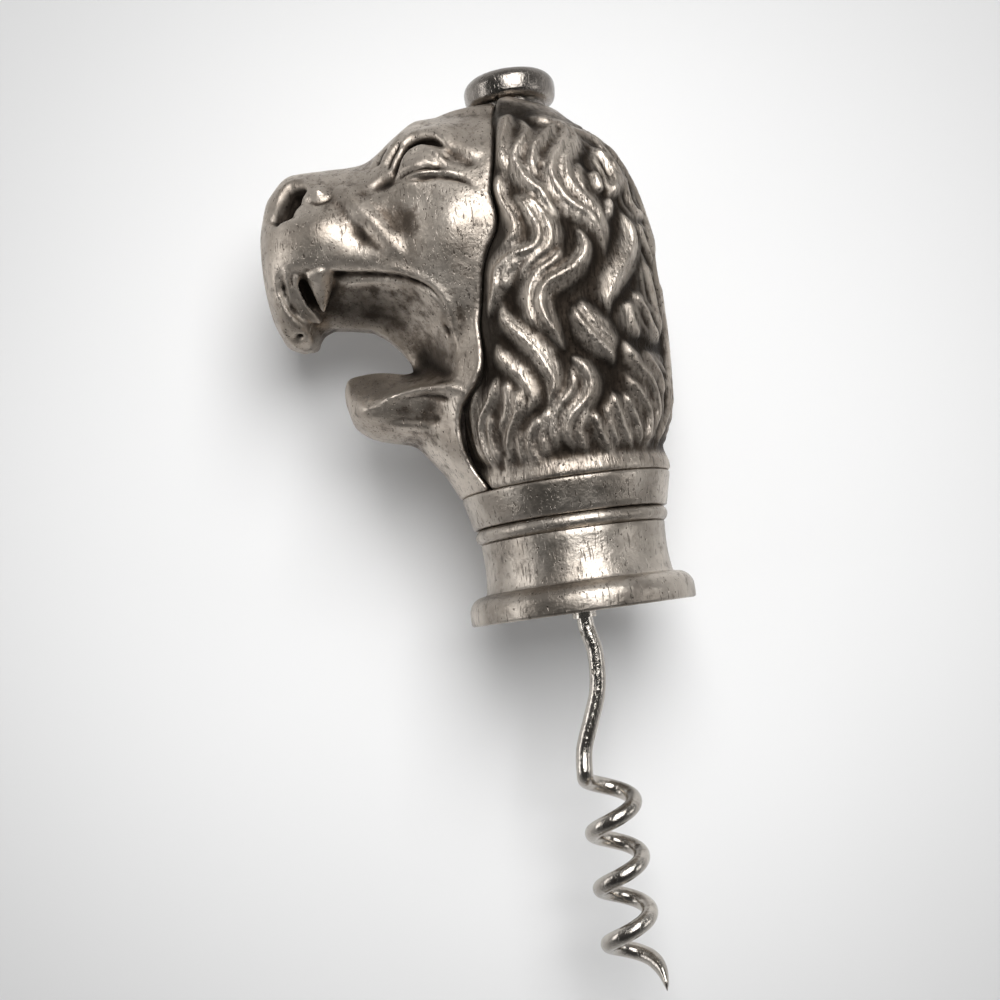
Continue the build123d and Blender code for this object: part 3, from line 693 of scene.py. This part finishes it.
def brushed(block, field, path, width, rise, blunt=False):
    """Height of one ridge over part of the grid, laid along the surface of a field."""
    reach = brush_reach * width + brush_margin
    spot = block.around(path, reach)
    gap, along = block.nearness(path, spot)
    level = field[spot]
    aside = np.sqrt(np.maximum(gap**2 - level**2, 0))
    ends = np.minimum(along / rise_share, (1 - along) / fade_share)
    ends = 1.0 if blunt else np.minimum(1, ends).clip(least_end, 1) ** end_bend
    return spot, aside, rise * ends, width * ends, level


def scored(block, field, skin, lines, deep):
    """Lay ridges and cuts on a surface, and give back how far places lie inside the nostril."""
    nostril = np.zeros_like(field)
    for points, width, height in lines:
        path = block.cast(skin, eased(points, 5.0))
        spot, aside, rise, wide, level = brushed(block, skin, path, width, height, len(points) == 1)
        across = (aside / wide) ** 2
        field[spot] -= rise * np.exp(-across * line_sharpness) * (np.abs(level) < deep)
        if height < nostril_height:
            inside = np.exp(-across * nostril_sharpness) * (-level > nostril_skin)
            nostril[spot] = np.maximum(nostril[spot], inside)
    return nostril


# The face
def cut_mouth(block, field, skin):
    """Open the mouth, flared from the web in the middle out to the lips."""
    web, lip = mouth_gap(block, web_gap), mouth_gap(block, lip_gap)
    side = np.maximum((skin < 0).sum(axis=1, keepdims=True) * grain, 3.0)
    out = (np.clip((np.abs(block.y) - web_half_width) / (side - 2.0), 0, 1) ** lip_flare).astype(np.float32)
    gap = ((1 - out) * web[:, None, :] + out * lip[:, None, :]).astype(np.float32)
    return kept(field, -gap, lip_edge)


def add_front_teeth(block, field):
    """Two narrow curved teeth, thinner towards their tips."""
    for points, near, far, radius in front_teeth:
        path = eased(points, 5.0)
        depths = np.linspace(near, far, len(path))
        path = np.array([at_depth([p], d)[0] for p, d in zip(path, depths)])
        spot = block.around(path, 3.0)
        gap, along = block.nearness(path, spot)
        field[spot] = joined(field[spot], gap - radius * (1 - tooth_taper * along), 0.5)


def add_fang(block, field):
    """The pointed canine, diamond-shaped across, and the gum's scallops round its root."""
    root, tip = at_depth([fang_root], fang_root_depth)[0], at_depth([fang_tip], fang_tip_depth)[0]
    spot = block.around(np.vstack([root, tip]), 4.0)
    x, y, z = block.x[spot[0]], block.y[:, spot[1]], block.z[:, :, spot[2]]
    down = np.clip((root[2] - z) / (root[2] - tip[2]), -0.3, 1.05)
    wide = fang_half_width * (1 - np.clip(down, 0, 1) ** fang_taper) + fang_point
    off_x = x - (root[0] + (tip[0] - root[0]) * down)
    off_y = y - root[1] - (tip[1] - root[1]) * down
    diamond = np.abs(off_x) ** fang_roundness + np.abs(off_y / fang_flatness) ** fang_roundness
    diamond = diamond ** (1 / fang_roundness)
    cone = np.maximum((diamond - wide) * 0.8, np.maximum(tip[2] - z, z - root[2] - 0.2))
    field[spot] = joined(field[spot], cone, 0.4)
    for points in gum_scallops:
        path = at_depth(eased(points, 4.0), scallop_depth)
        spot = block.around(path, 2.0)
        gap, _ = block.nearness(path, spot)
        field[spot] = joined(field[spot], gap - scallop_radius, 0.4)


def make_face():
    """The face's grid and field, and how far places lie inside the mouth or the nostril, which paints them
    dark: tarnish and painted shade in the mouth, painted shade in the nostril.
    """
    block = Block(*face_room)
    field = evened(face_form(block.x, block.y, block.z))
    skin = field.copy()
    for middle, reach, height in face_swells:
        path = eased(block.cast(skin, [middle]), 1.0)
        spot = block.around(path, swell_reach * reach)
        gap, _ = block.nearness(path, spot)
        field[spot] -= height * np.exp(-((gap / reach) ** 2) * swell_sharpness)
    skin = evened(field)
    nostril = scored(block, field, skin, face_lines, face_line_reach)
    # painted dark inside the mouth (tarnish and painted shade) and in the nostril (painted shade)
    inner_shade_and_tarnish = np.maximum(np.clip(-evened(field), 0, 12) * mouth_shade_and_tarnish, softened(nostril) * nostril_shade)
    field = cut_mouth(block, field, skin)
    skin = evened(field)
    scored(block, field, skin, mouth_lines, mouth_line_reach)
    add_front_teeth(block, field)
    add_fang(block, field)
    return block, parted(block, field, skin, skin, side=-1, gap=0.25, start=2.2, blend=0.5), inner_shade_and_tarnish


# The mane
def lock_paths(block, crest):
    """Lines of every lock and strand on the mane: path, half width, height."""
    lines = []
    for points, width, rise in mane_locks:
        if points[0][1] < crown_row:
            first = np.array(points[0])
            points = [tuple(first + crown_start_share * (knob_foot_spot - first)), *points]
        path = eased(points, 6.0)
        lines.append((block.cast(crest, path), width, rise))
        if len(points) > 4:
            heading = np.gradient(path, axis=0)
            aside = np.stack([heading[:, 1], -heading[:, 0]], 1)
            aside /= np.maximum(np.linalg.norm(heading, axis=1), 1e-6)[:, None]
            lean = np.sin(np.linspace(0.15, math.pi - 0.15, len(path)))[:, None]
            for shift, share in side_strands:
                strand = block.cast(crest, path + aside * shift * lean)
                lines.append((strand, strand_width_share * width, share * rise))
    for points, width, rise in back_locks:
        spots = []
        for angle, z in eased(points, 3.0):
            middle, deep, wide = section(mane_table, z)
            turn_by = math.radians(angle)
            spots.append((middle + deep * math.cos(turn_by), -wide * math.sin(turn_by), z))
        lines.append((np.array(spots), width, rise))
    return lines


def make_mane():
    """The mane's grid and field, and how deep places lie under its outline, which paints its valleys dark
    with tarnish and painted shade.
    """
    block = Block(*mane_room)
    crest = evened(mane_form(block.x, block.y, block.z))
    height = np.zeros_like(crest)
    for path, width, rise in lock_paths(block, crest):
        spot, aside, tall, wide, _ = brushed(block, crest, path, width, rise)
        slope = np.exp(-(np.sqrt(aside**2 + crest_round) - crest_lift) / (lock_spread * wide))
        height[spot] = np.maximum(height[spot], lock_boost * tall * slope)
    height *= ramp(*lock_foot, block.z)
    around_knob = ramp(*knob_clearing, np.hypot(block.x, block.y))
    field = crest + relief * ramp(*relief_foot, block.z) * around_knob + ground_sink - height
    outer = evened(face_form(block.x, block.y, block.z))
    field = parted(block, field, outer, crest, side=1, gap=0.15, start=2.6, blend=0.6)
    return block, field, np.clip(-crest, 0, 6)


# Finishes
def tree_of(name):
    """A new material and its empty node tree."""
    finish = bpy.data.materials.new(name)
    finish.use_nodes = True
    finish.node_tree.nodes.clear()
    return finish, finish.node_tree


def put(tree, kind, settings=None, **sockets):
    """Add a node; sockets are numbers, colours or the outputs of other nodes, by name or place."""
    node = tree.nodes.new(kind)
    for key, value in (settings or {}).items():
        setattr(node, key, value)
    for key, value in sockets.items():
        by_place = key[0] == "i" and key[1:].isdigit()
        socket = node.inputs[int(key[1:]) if by_place else key.replace("_", " ")]
        if isinstance(value, bpy.types.NodeSocket):
            tree.links.new(value, socket)
        else:
            socket.default_value = value
    return node


def maths(tree, do, a, b=0.0, clamp=False):
    return put(tree, "ShaderNodeMath", {"operation": do, "use_clamp": clamp}, i0=a, i1=b).outputs[0]


def times(tree, a, b):
    return maths(tree, "MULTIPLY", a, b)


def ranged(tree, value, low, high, to_low=0.0, to_high=1.0):
    return put(tree, "ShaderNodeMapRange", {"interpolation_type": "SMOOTHSTEP"}, Value=value, From_Min=low,
               From_Max=high, To_Min=to_low, To_Max=to_high).outputs[0]


def blended(tree, share, a, b):
    return put(tree, "ShaderNodeMix", {"data_type": "RGBA"}, i0=share, i6=a, i7=b).outputs[2]


def stored(tree, label):
    """A value kept on the mesh by meshed()."""
    return put(tree, "ShaderNodeAttribute", {"attribute_name": label}).outputs["Fac"]


def in_millimetres(tree, stretch=(1000, 1000, 1000), turned=(0, 0, 0)):
    place = put(tree, "ShaderNodeTexCoord").outputs["Object"]
    return put(tree, "ShaderNodeMapping", Vector=place, Scale=stretch, Rotation=turned).outputs[0]


def noise(tree, place, scale, detail=3.0, rough=0.55):
    node = put(tree, "ShaderNodeTexNoise", Vector=place, Scale=scale, Detail=detail, Roughness=rough)
    return node.outputs[0]


def aged_metal(name, light, middle, dark, shine, sculpted, pit_size=1.0, scratch=0.75, sunk_shade_and_tarnish=0.92,
               strands=0.0):
    """Old polished metal: bright where worn on its swellings, brown black in its hollows from tarnish and
    painted shade, pitted and scratched.
    """
    finish, tree = tree_of(name)
    place = in_millimetres(tree)
    cloud = noise(tree, place, 0.11, 5.0)
    mottle = noise(tree, place, 0.55, 4.0, 0.65)
    tone = ranged(tree, cloud, 0.38, 0.66)
    colour = blended(tree, tone, middle, light)
    colour = blended(tree, ranged(tree, mottle, 0.53, 0.76, 0.0, 0.55), colour, dark)
    # pits
    cells = put(tree, "ShaderNodeTexVoronoi", {"feature": "F1"}, Vector=place, Scale=pit_size)
    chosen = put(tree, "ShaderNodeSeparateColor", Color=cells.outputs["Color"]).outputs[0]
    pit = ranged(tree, cells.outputs["Distance"], 0.10, 0.19, 1.0, 0.0)
    pit = times(tree, pit, ranged(tree, chosen, 0.62, 0.66))
    # short scratches in two directions
    marks = 0.0
    for turned in ((0.3, 0.5, 0.2), (1.2, -0.4, 0.9)):
        streak = noise(tree, in_millimetres(tree, (2600, 2600, 330), turned), 1.0, 2.0)
        marks = maths(tree, "ADD", marks, ranged(tree, streak, 0.63, 0.69))
    marks = maths(tree, "MULTIPLY", marks, scratch, clamp=True)
    flaws = maths(tree, "MAXIMUM", pit, marks)
    colour = blended(tree, times(tree, flaws, 0.75), colour, dark)
    rough = ranged(tree, mottle, 0.3, 0.7, shine, shine + 0.12)
    if strands:
        fibre = noise(tree, in_millimetres(tree, (1500, 1500, 240)), 1.0, 3.0)
        colour = blended(tree, ranged(tree, fibre, 0.5, 0.66, 0.0, 0.5), colour, dark)
    if sculpted:
        # hollows, tight corners and places sunk under the skin are painted dark: partly tarnish, partly
        # painted shade for light that would not reach them
        hollow, rim, sunk = stored(tree, "hollow"), stored(tree, "rim"), stored(tree, "depth")
        deep = maths(tree, "MAXIMUM", ranged(tree, hollow, 0.525, 0.63), ranged(tree, rim, 0.525, 0.65))
        deep = maths(tree, "MAXIMUM", deep, ranged(tree, sunk, 0.8, 1.8, 0.0, sunk_shade_and_tarnish))
        hollow_shade_and_tarnish = maths(tree, "ADD", hollow, times(tree, maths(tree, "SUBTRACT", mottle, 0.5), 0.2))
        hollow_shade_and_tarnish = ranged(tree, hollow_shade_and_tarnish, 0.475, 0.57, 0.0, 0.82)
        colour = blended(tree, hollow_shade_and_tarnish, colour, (dark[0] * 2.2, dark[1] * 2.1, dark[2] * 2.0, 1))
        colour = blended(tree, deep, colour, (dark[0] * 0.5, dark[1] * 0.5, dark[2] * 0.5, 1))
        worn = ranged(tree, rim, 0.46, 0.30)
        colour = blended(tree, times(tree, worn, 0.65), colour, light)
        rough = maths(tree, "ADD", rough, times(tree, deep, 0.25))
    fine = noise(tree, place, 2.6, 3.0)
    lumps = noise(tree, place, 0.42, 2.0)
    height = maths(tree, "ADD", times(tree, fine, 0.05), times(tree, lumps, 0.16))
    height = maths(tree, "SUBTRACT", height, times(tree, flaws, 0.10))
    if strands:
        height = maths(tree, "SUBTRACT", height, times(tree, fibre, strands))
    bump = put(tree, "ShaderNodeBump", Strength=0.9, Distance=0.001, Height=height)
    shader = put(tree, "ShaderNodeBsdfPrincipled", Base_Color=colour, Metallic=1.0, Roughness=rough,
                 Normal=bump.outputs[0])
    put(tree, "ShaderNodeOutputMaterial", Surface=shader.outputs[0])
    return finish


# light, middle and dark colour, then roughness
cast_silver = aged_metal(
    "cast_silver", (0.61, 0.545, 0.475, 1), (0.38, 0.33, 0.28, 1), (0.040, 0.031, 0.024, 1), 0.38, True)
mane_silver = aged_metal(
    "mane_silver", (0.61, 0.545, 0.475, 1), (0.34, 0.295, 0.25, 1), (0.038, 0.029, 0.022, 1), 0.35, True,
    strands=0.22)
turned_silver = aged_metal(
    "turned_silver", (0.53, 0.478, 0.42, 1), (0.30, 0.264, 0.226, 1), (0.05, 0.04, 0.032, 1), 0.31, False)
knob_silver = aged_metal(
    "knob_silver", (0.34, 0.31, 0.28, 1), (0.22, 0.20, 0.18, 1), (0.04, 0.033, 0.028, 1), 0.16, False,
    pit_size=0.5, scratch=0.25)
bright_steel = aged_metal(
    "bright_steel", (0.57, 0.53, 0.48, 1), (0.42, 0.388, 0.35, 1), (0.10, 0.085, 0.07, 1), 0.10, False,
    pit_size=0.3, scratch=0.15)
plain_steel = aged_metal(
    "plain_steel", (0.50, 0.48, 0.45, 1), (0.40, 0.38, 0.36, 1), (0.10, 0.09, 0.08, 1), 0.22, False)

# Pieces
face = meshed("lion_face", *make_face())
face.data.materials.append(cast_silver)
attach(face, "handle")
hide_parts("face_shell")
mane = meshed("lion_mane", *make_mane())
mane.data.materials.append(mane_silver)
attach(mane, "handle")
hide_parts("mane_shell")


def arc(middle, radius, start, end, count=10, squash=1.0):
    """Points (radius, height) of an arc, in degrees."""
    turns = np.radians(np.linspace(start, end, count))
    return [(middle[0] + radius * math.cos(t), middle[1] + squash * radius * math.sin(t)) for t in turns]


def lathed(name, outline, segments=168):
    """Closed outline of (radius, height) points in millimetres, turned about the spindle."""
    mesh = bpy.data.meshes.new(name)
    points, faces, rings = [], [], []
    for radius, height in outline:
        count = 1 if radius < 1e-6 else segments
        rings.append((len(points), count))
        for k in range(count):
            angle = 2 * math.pi * k / segments
            points.append((radius * math.cos(angle) * mm, radius * math.sin(angle) * mm, height * mm))
    for (a, n), (b, m) in zip(rings, rings[1:] + rings[:1]):
        if n == m == 1:
            continue
        for k in range(segments):
            nxt = (k + 1) % segments
            ring = [a + k % n, a + nxt % n, b + nxt % m, b + k % m]
            faces.append(list(dict.fromkeys(ring)))
    mesh.from_pydata(points, [], faces)
    mesh.polygons.foreach_set("use_smooth", np.ones(len(faces), bool))
    mesh.update()
    return linked(name, mesh)


def turned(name, node, outline, finish, slot, body="handle"):
    """A lathed piece that stands for a node of the solids."""
    piece = lathed(name, outline)
    piece.data.materials.append(finish)
    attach(piece, body)
    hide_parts(node)


def make_turned_pieces():
    """Foot with its flange, the bead, the band and the button, edges rounded a little by wear."""
    turned("foot", "foot_spool", [
        (15.5, 0.0), (17.6, 0.0), *arc((17.75, 0.45), 0.45, -90, 0, 5), *arc((15.53, 1.93), 2.67, 0, 84, 16),
        (15.55, 4.62), (15.35, 4.66), (15.18, 4.8), (15.05, 5.3), (14.93, 6.2), (14.82, 7.4), (14.75, 8.7),
        (14.78, 10.2), (14.86, 11.6), (14.93, 12.6), (14.85, 12.8), (12.4, 12.8), (12.4, 18.4), (10.5, 18.4),
        (10.5, 2.0), (15.5, 2.0),
    ], turned_silver, "turned_silver")
    turned("bead", "bead_ring", [
        (12.5, 12.8), (14.25, 12.8), *arc((14.35, 14.05), 1.25, -90, 90, 17), (14.25, 15.3), (12.5, 15.3),
    ], turned_silver, "turned_silver")
    turned("band", "neck_band", [
        (12.5, 15.3), (15.5, 15.3), (15.72, 15.45), (15.95, 16.3), (16.45, 18.4), (16.82, 19.9),
        *arc((16.48, 20.3), 0.4, 10, 90, 6), (16.2, 20.7), (13.8, 20.7), (13.8, 23.5), (10.5, 23.5),
        (10.5, 18.5), (12.5, 18.5),
    ], turned_silver, "turned_silver")
    turned("button", "knob", [
        (0.0, 83.9), (3.0, 83.9), (6.3, 83.9), *arc((6.0, 85.3), 1.4, -70, -12, 8), (7.53, 86.0),
        *arc((5.35, 86.7), 2.2, 0, 60, 12), (5.6, 88.82), (4.2, 89.05), (2.6, 89.2), (1.2, 89.26),
        (0.0, 89.28),
    ], knob_silver, "knob_silver", "knob")


# The worm, in millimetres
wire_radius = 1.325
wire_sides = 32
helix_radius = 3.6
helix_pitch = 8.75
helix_turns = 3.5
helix_top = -26.3
# the tail takes the place of the helix's last part of a turn
tail_turns, tail_lead, tail_flare, tail_side, tail_drop = 0.125, 3.2, 0.8, 1.6, 4.8
# along the tail, the wire's width and thickness as shares of its own
tail_marks = [0, 0.3, 0.6, 0.85, 1.0]
tail_widths = [1.0, 1.0, 0.94, 0.62, 0.04]
tail_thicknesses = [1.0, 0.92, 0.66, 0.36, 0.03]
# samples along the shank's runs, the helix and the tail
run_samples, helix_samples, tail_samples = 8, 130, 23
# the end that screws into the nut, as in the solids: its top, its shoulder and its radius
thread_top, thread_foot, thread_radius = 7.6, 1.5, 1.25
# the threaded end and the bowed shank, sideways and down
shank_places = [
    (0.0, thread_top), (0.0, thread_foot), (0.0, -1.58), (0.864, -6.575), (0.36, -12.62), (-1.368, -17.36),
    (-3.096, -21.83),
]


def helix_place(turn):
    angle = math.pi - 2 * math.pi * turn
    across = [helix_radius * math.cos(angle), helix_radius * math.sin(angle)]
    return np.array([*across, helix_top - helix_pitch * turn])


def helix_way(turn):
    angle = math.pi - 2 * math.pi * turn
    across = [helix_radius * math.sin(angle), -helix_radius * math.cos(angle)]
    way = np.array([*across, -helix_pitch / (2 * math.pi)])
    return way / np.linalg.norm(way)


def wire_path():
    """Centre line from the nut to the point, the wire's width share along it, and its flatness."""
    knots = [np.array([x, 0.0, z]) for x, z in shank_places] + [helix_place(0)]
    ways = [np.array([0, 0, -1.0])] * 3
    ways += [(b - a) / np.linalg.norm(b - a) for a, b in zip(knots[2:], knots[4:])] + [helix_way(0)]
    line = []
    for a, b, way, next_way in zip(knots, knots[1:], ways, ways[1:]):
        length = np.linalg.norm(b - a)
        for share in np.linspace(0, 1, run_samples + 1)[:-1]:
            line.append(bent(share, a, b, way * length, next_way * length))
    last = helix_turns - tail_turns
    line += [helix_place(turn) for turn in np.linspace(0, last, helix_samples)]
    start = line[-1]
    lead = start + helix_way(last) * tail_lead
    tip = np.array([helix_radius + tail_flare, -tail_side, start[2] - tail_drop])
    plain = len(line)
    shares = np.linspace(0, 1, tail_samples + 1)[1:]
    line += [(1 - t) ** 2 * start + 2 * t * (1 - t) * lead + t * t * tip for t in shares]
    shank = [thread_radius / wire_radius if spot[2] > thread_foot else 1.0 for spot in line[:plain]]
    wide = np.array(shank + list(np.interp(shares, tail_marks, tail_widths)))
    thin = np.array(shank + list(np.interp(shares, tail_marks, tail_thicknesses)))
    return np.array(line), wide, thin / wide


def sweep_tree():
    """Geometry Nodes that sweep a round wire along a line; width_share on its points tapers it."""
    tree = bpy.data.node_groups.new("sweep_wire", "GeometryNodeTree")
    for name, kind in (("Line", "Geometry"), ("Wire radius", "Float"), ("Sides", "Int")):
        tree.interface.new_socket(name, in_out="INPUT", socket_type="NodeSocket" + kind)
    tree.interface.new_socket("Wire", in_out="OUTPUT", socket_type="NodeSocketGeometry")
    given = put(tree, "NodeGroupInput").outputs
    curve = put(tree, "GeometryNodeMeshToCurve", Mesh=given["Line"]).outputs[0]
    share = put(tree, "GeometryNodeInputNamedAttribute", {"data_type": "FLOAT"}, Name="width_share")
    ring = put(tree, "GeometryNodeCurvePrimitiveCircle", Resolution=given["Sides"],
               Radius=given["Wire radius"]).outputs[0]
    sweep = put(tree, "GeometryNodeCurveToMesh", Curve=curve, Profile_Curve=ring,
                Scale=share.outputs["Attribute"], Fill_Caps=True).outputs[0]
    real = put(tree, "GeometryNodeRealizeInstances", i0=sweep).outputs[0]
    finish = put(tree, "GeometryNodeSetMaterial", Geometry=real, Material=bright_steel).outputs[0]
    put(tree, "NodeGroupOutput", i0=finish)
    return tree


def swept_wire(name, line, shares):
    """Wire swept along its line by Geometry Nodes, then kept as a plain mesh."""
    mesh = bpy.data.meshes.new(name)
    mesh.from_pydata([tuple(p * mm) for p in line], [(k, k + 1) for k in range(len(line) - 1)], [])
    mesh.attributes.new("width_share", "FLOAT", "POINT").data.foreach_set("value", shares.astype(np.float32))
    piece = linked(name, mesh)
    way = piece.modifiers.new("sweep", "NODES")
    way.node_group = sweep_tree()
    sizes = {"Wire radius": wire_radius * mm, "Sides": wire_sides}
    for socket in way.node_group.interface.items_tree:
        if socket.name in sizes:
            way[socket.identifier] = sizes[socket.name]
    depsgraph = bpy.context.evaluated_depsgraph_get()
    done = bpy.data.meshes.new_from_object(piece.evaluated_get(depsgraph))
    piece.modifiers.clear()
    piece.data = done
    return piece


def make_worm():
    """The wire with its tail hammered flat."""
    line, shares, flatness = wire_path()
    worm = swept_wire("wire_worm", line, shares)
    spots = np.empty(3 * len(worm.data.vertices), np.float32)
    worm.data.vertices.foreach_get("co", spots)
    spots = spots.reshape(-1, 3).astype(float) / mm
    ways = np.gradient(line, axis=0)
    ways /= np.linalg.norm(ways, axis=1, keepdims=True)
    across = np.cross(ways, [1.0, 0, 0])
    thick = np.cross(across / np.linalg.norm(across, axis=1, keepdims=True), ways)
    tail = np.nonzero(spots[:, 2] < line[-tail_samples - 1][2] + 2.0)[0]
    for k in tail:
        near = np.argmin(((line - spots[k]) ** 2).sum(1))
        if flatness[near] < 1:
            out = (spots[k] - line[near]) @ thick[near]
            spots[k] -= thick[near] * out * (1 - flatness[near])
    worm.data.vertices.foreach_set("co", (spots * mm).astype(np.float32).ravel())
    worm.data.polygons.foreach_set("use_smooth", np.ones(len(worm.data.polygons), bool))
    worm.data.update()
    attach(worm, "worm")
    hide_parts("worm")


make_turned_pieces()
make_worm()
finishes = {
    "face_shell": cast_silver, "mane_shell": mane_silver, "neck_band": turned_silver,
    "bead_ring": turned_silver, "foot_spool": turned_silver, "foot_plate": turned_silver,
    "coupling_nut": plain_steel, "tie_rod": plain_steel, "knob_washer": knob_silver, "knob": knob_silver,
    "shank_bush": bright_steel, "worm": bright_steel,
}
for name, finish in finishes.items():
    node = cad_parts[name]
    for slot in node.material_slots:
        slot.material = finish
    if not node.material_slots:
        node.data.materials.append(finish)

# Surroundings, in metres
sheet_half_side, sheet_depth = 0.9, 0.0225
# where the sheet is palest, how far that reaches, its colour there and far away (a painted pool of light
# fading to painted shade at the edges), and its glow to the eye
sheet_middle, shade_start, shade_end = (0.01, 0, -0.018), 0.045, 0.155
sheet_pale, sheet_shaded, sheet_glow = (0.89, 0.89, 0.89, 1), (0.58, 0.58, 0.58, 1), 0.06
# the room's light: from behind the object, from above and everywhere
behind_light, above_light, room_light = 0.40, 0.07, 0.05


def stage_sheet():
    """The white surface that the corkscrew lies on, an upright plane here; from behind it is clear."""
    finish, tree = tree_of("white_table")
    place = put(tree, "ShaderNodeTexCoord").outputs["Object"]
    centred = put(tree, "ShaderNodeMapping", Vector=place, Location=sheet_middle).outputs[0]
    far = put(tree, "ShaderNodeVectorMath", {"operation": "LENGTH"}, i0=centred).outputs["Value"]
    # painted pool of light in the middle of the sheet, fading to painted shade towards its edges
    colour = blended(tree, ranged(tree, far, shade_start, shade_end), sheet_pale, sheet_shaded)
    matt = put(tree, "ShaderNodeBsdfDiffuse", Color=colour)
    rays = put(tree, "ShaderNodeLightPath")
    seen = maths(tree, "MAXIMUM", rays.outputs["Is Camera Ray"],
                 maths(tree, "MAXIMUM", rays.outputs["Is Glossy Ray"], rays.outputs["Is Transmission Ray"]))
    glow = put(tree, "ShaderNodeEmission", Color=colour, Strength=times(tree, seen, sheet_glow))
    both = put(tree, "ShaderNodeAddShader", i0=matt.outputs[0], i1=glow.outputs[0])
    clear = put(tree, "ShaderNodeBsdfTransparent")
    facing = put(tree, "ShaderNodeNewGeometry").outputs["Backfacing"]
    pick = put(tree, "ShaderNodeMixShader", i0=facing, i1=both.outputs[0], i2=clear.outputs[0])
    put(tree, "ShaderNodeOutputMaterial", Surface=pick.outputs[0])
    mesh = bpy.data.meshes.new("table_top")
    corners = [(-1, -1), (1, -1), (1, 1), (-1, 1)]
    spots = [(x * sheet_half_side, sheet_depth, z * sheet_half_side) for x, z in corners]
    mesh.from_pydata(spots, [], [(0, 1, 2, 3)])
    mesh.materials.append(finish)
    sheet = linked("table_top", mesh)


def softbox(name, place, aim, wide, tall, watts):
    """A rectangular lamp turned towards its aim."""
    data = bpy.data.lights.new(name, "AREA")
    data.shape = "RECTANGLE"
    data.size, data.size_y, data.energy = wide, tall, watts
    lamp = linked(name, data)
    lamp.location = place
    lamp.rotation_euler = (Vector(aim) - Vector(place)).to_track_quat("-Z", "Y").to_euler()


def surroundings():
    """White behind the object for the eye, and a dim room for its gloss."""
    world = bpy.data.worlds.new("studio")
    bpy.context.scene.world = world
    world.use_nodes = True
    tree = world.node_tree
    tree.nodes.clear()
    rays = put(tree, "ShaderNodeLightPath")
    place = put(tree, "ShaderNodeTexCoord").outputs["Generated"]
    parts = put(tree, "ShaderNodeSeparateXYZ", Vector=place)
    behind = ranged(tree, parts.outputs["Y"], -0.75, 0.25)
    above = ranged(tree, parts.outputs["Z"], -0.5, 1.0)
    room = maths(tree, "ADD", times(tree, behind, behind_light), times(tree, above, above_light))
    room = maths(tree, "ADD", room, room_light)
    plain = times(tree, maths(tree, "SUBTRACT", 1.0, rays.outputs["Is Camera Ray"]), room)
    level = maths(tree, "ADD", plain, rays.outputs["Is Camera Ray"])
    glossy = maths(tree, "MAXIMUM", rays.outputs["Is Glossy Ray"], rays.outputs["Is Transmission Ray"])
    level = times(tree, level, maths(tree, "ADD", 1.0, times(tree, glossy, 0.1)))
    sky = put(tree, "ShaderNodeBackground", Color=(1, 1, 1, 1), Strength=level)
    put(tree, "ShaderNodeOutputWorld", Surface=sky.outputs[0])


stage_sheet()
surroundings()
softbox("key_light", (0.12, -0.59, 0.29), (-0.01, 0, 0.03), 0.44, 0.52, 5.0)
softbox("side_light", (-0.62, -0.20, 0.12), (-0.01, 0, 0.04), 0.20, 0.50, 0.8)
softbox("low_light", (0.60, -0.26, -0.05), (0, 0, 0.01), 0.22, 0.26, 0.35)
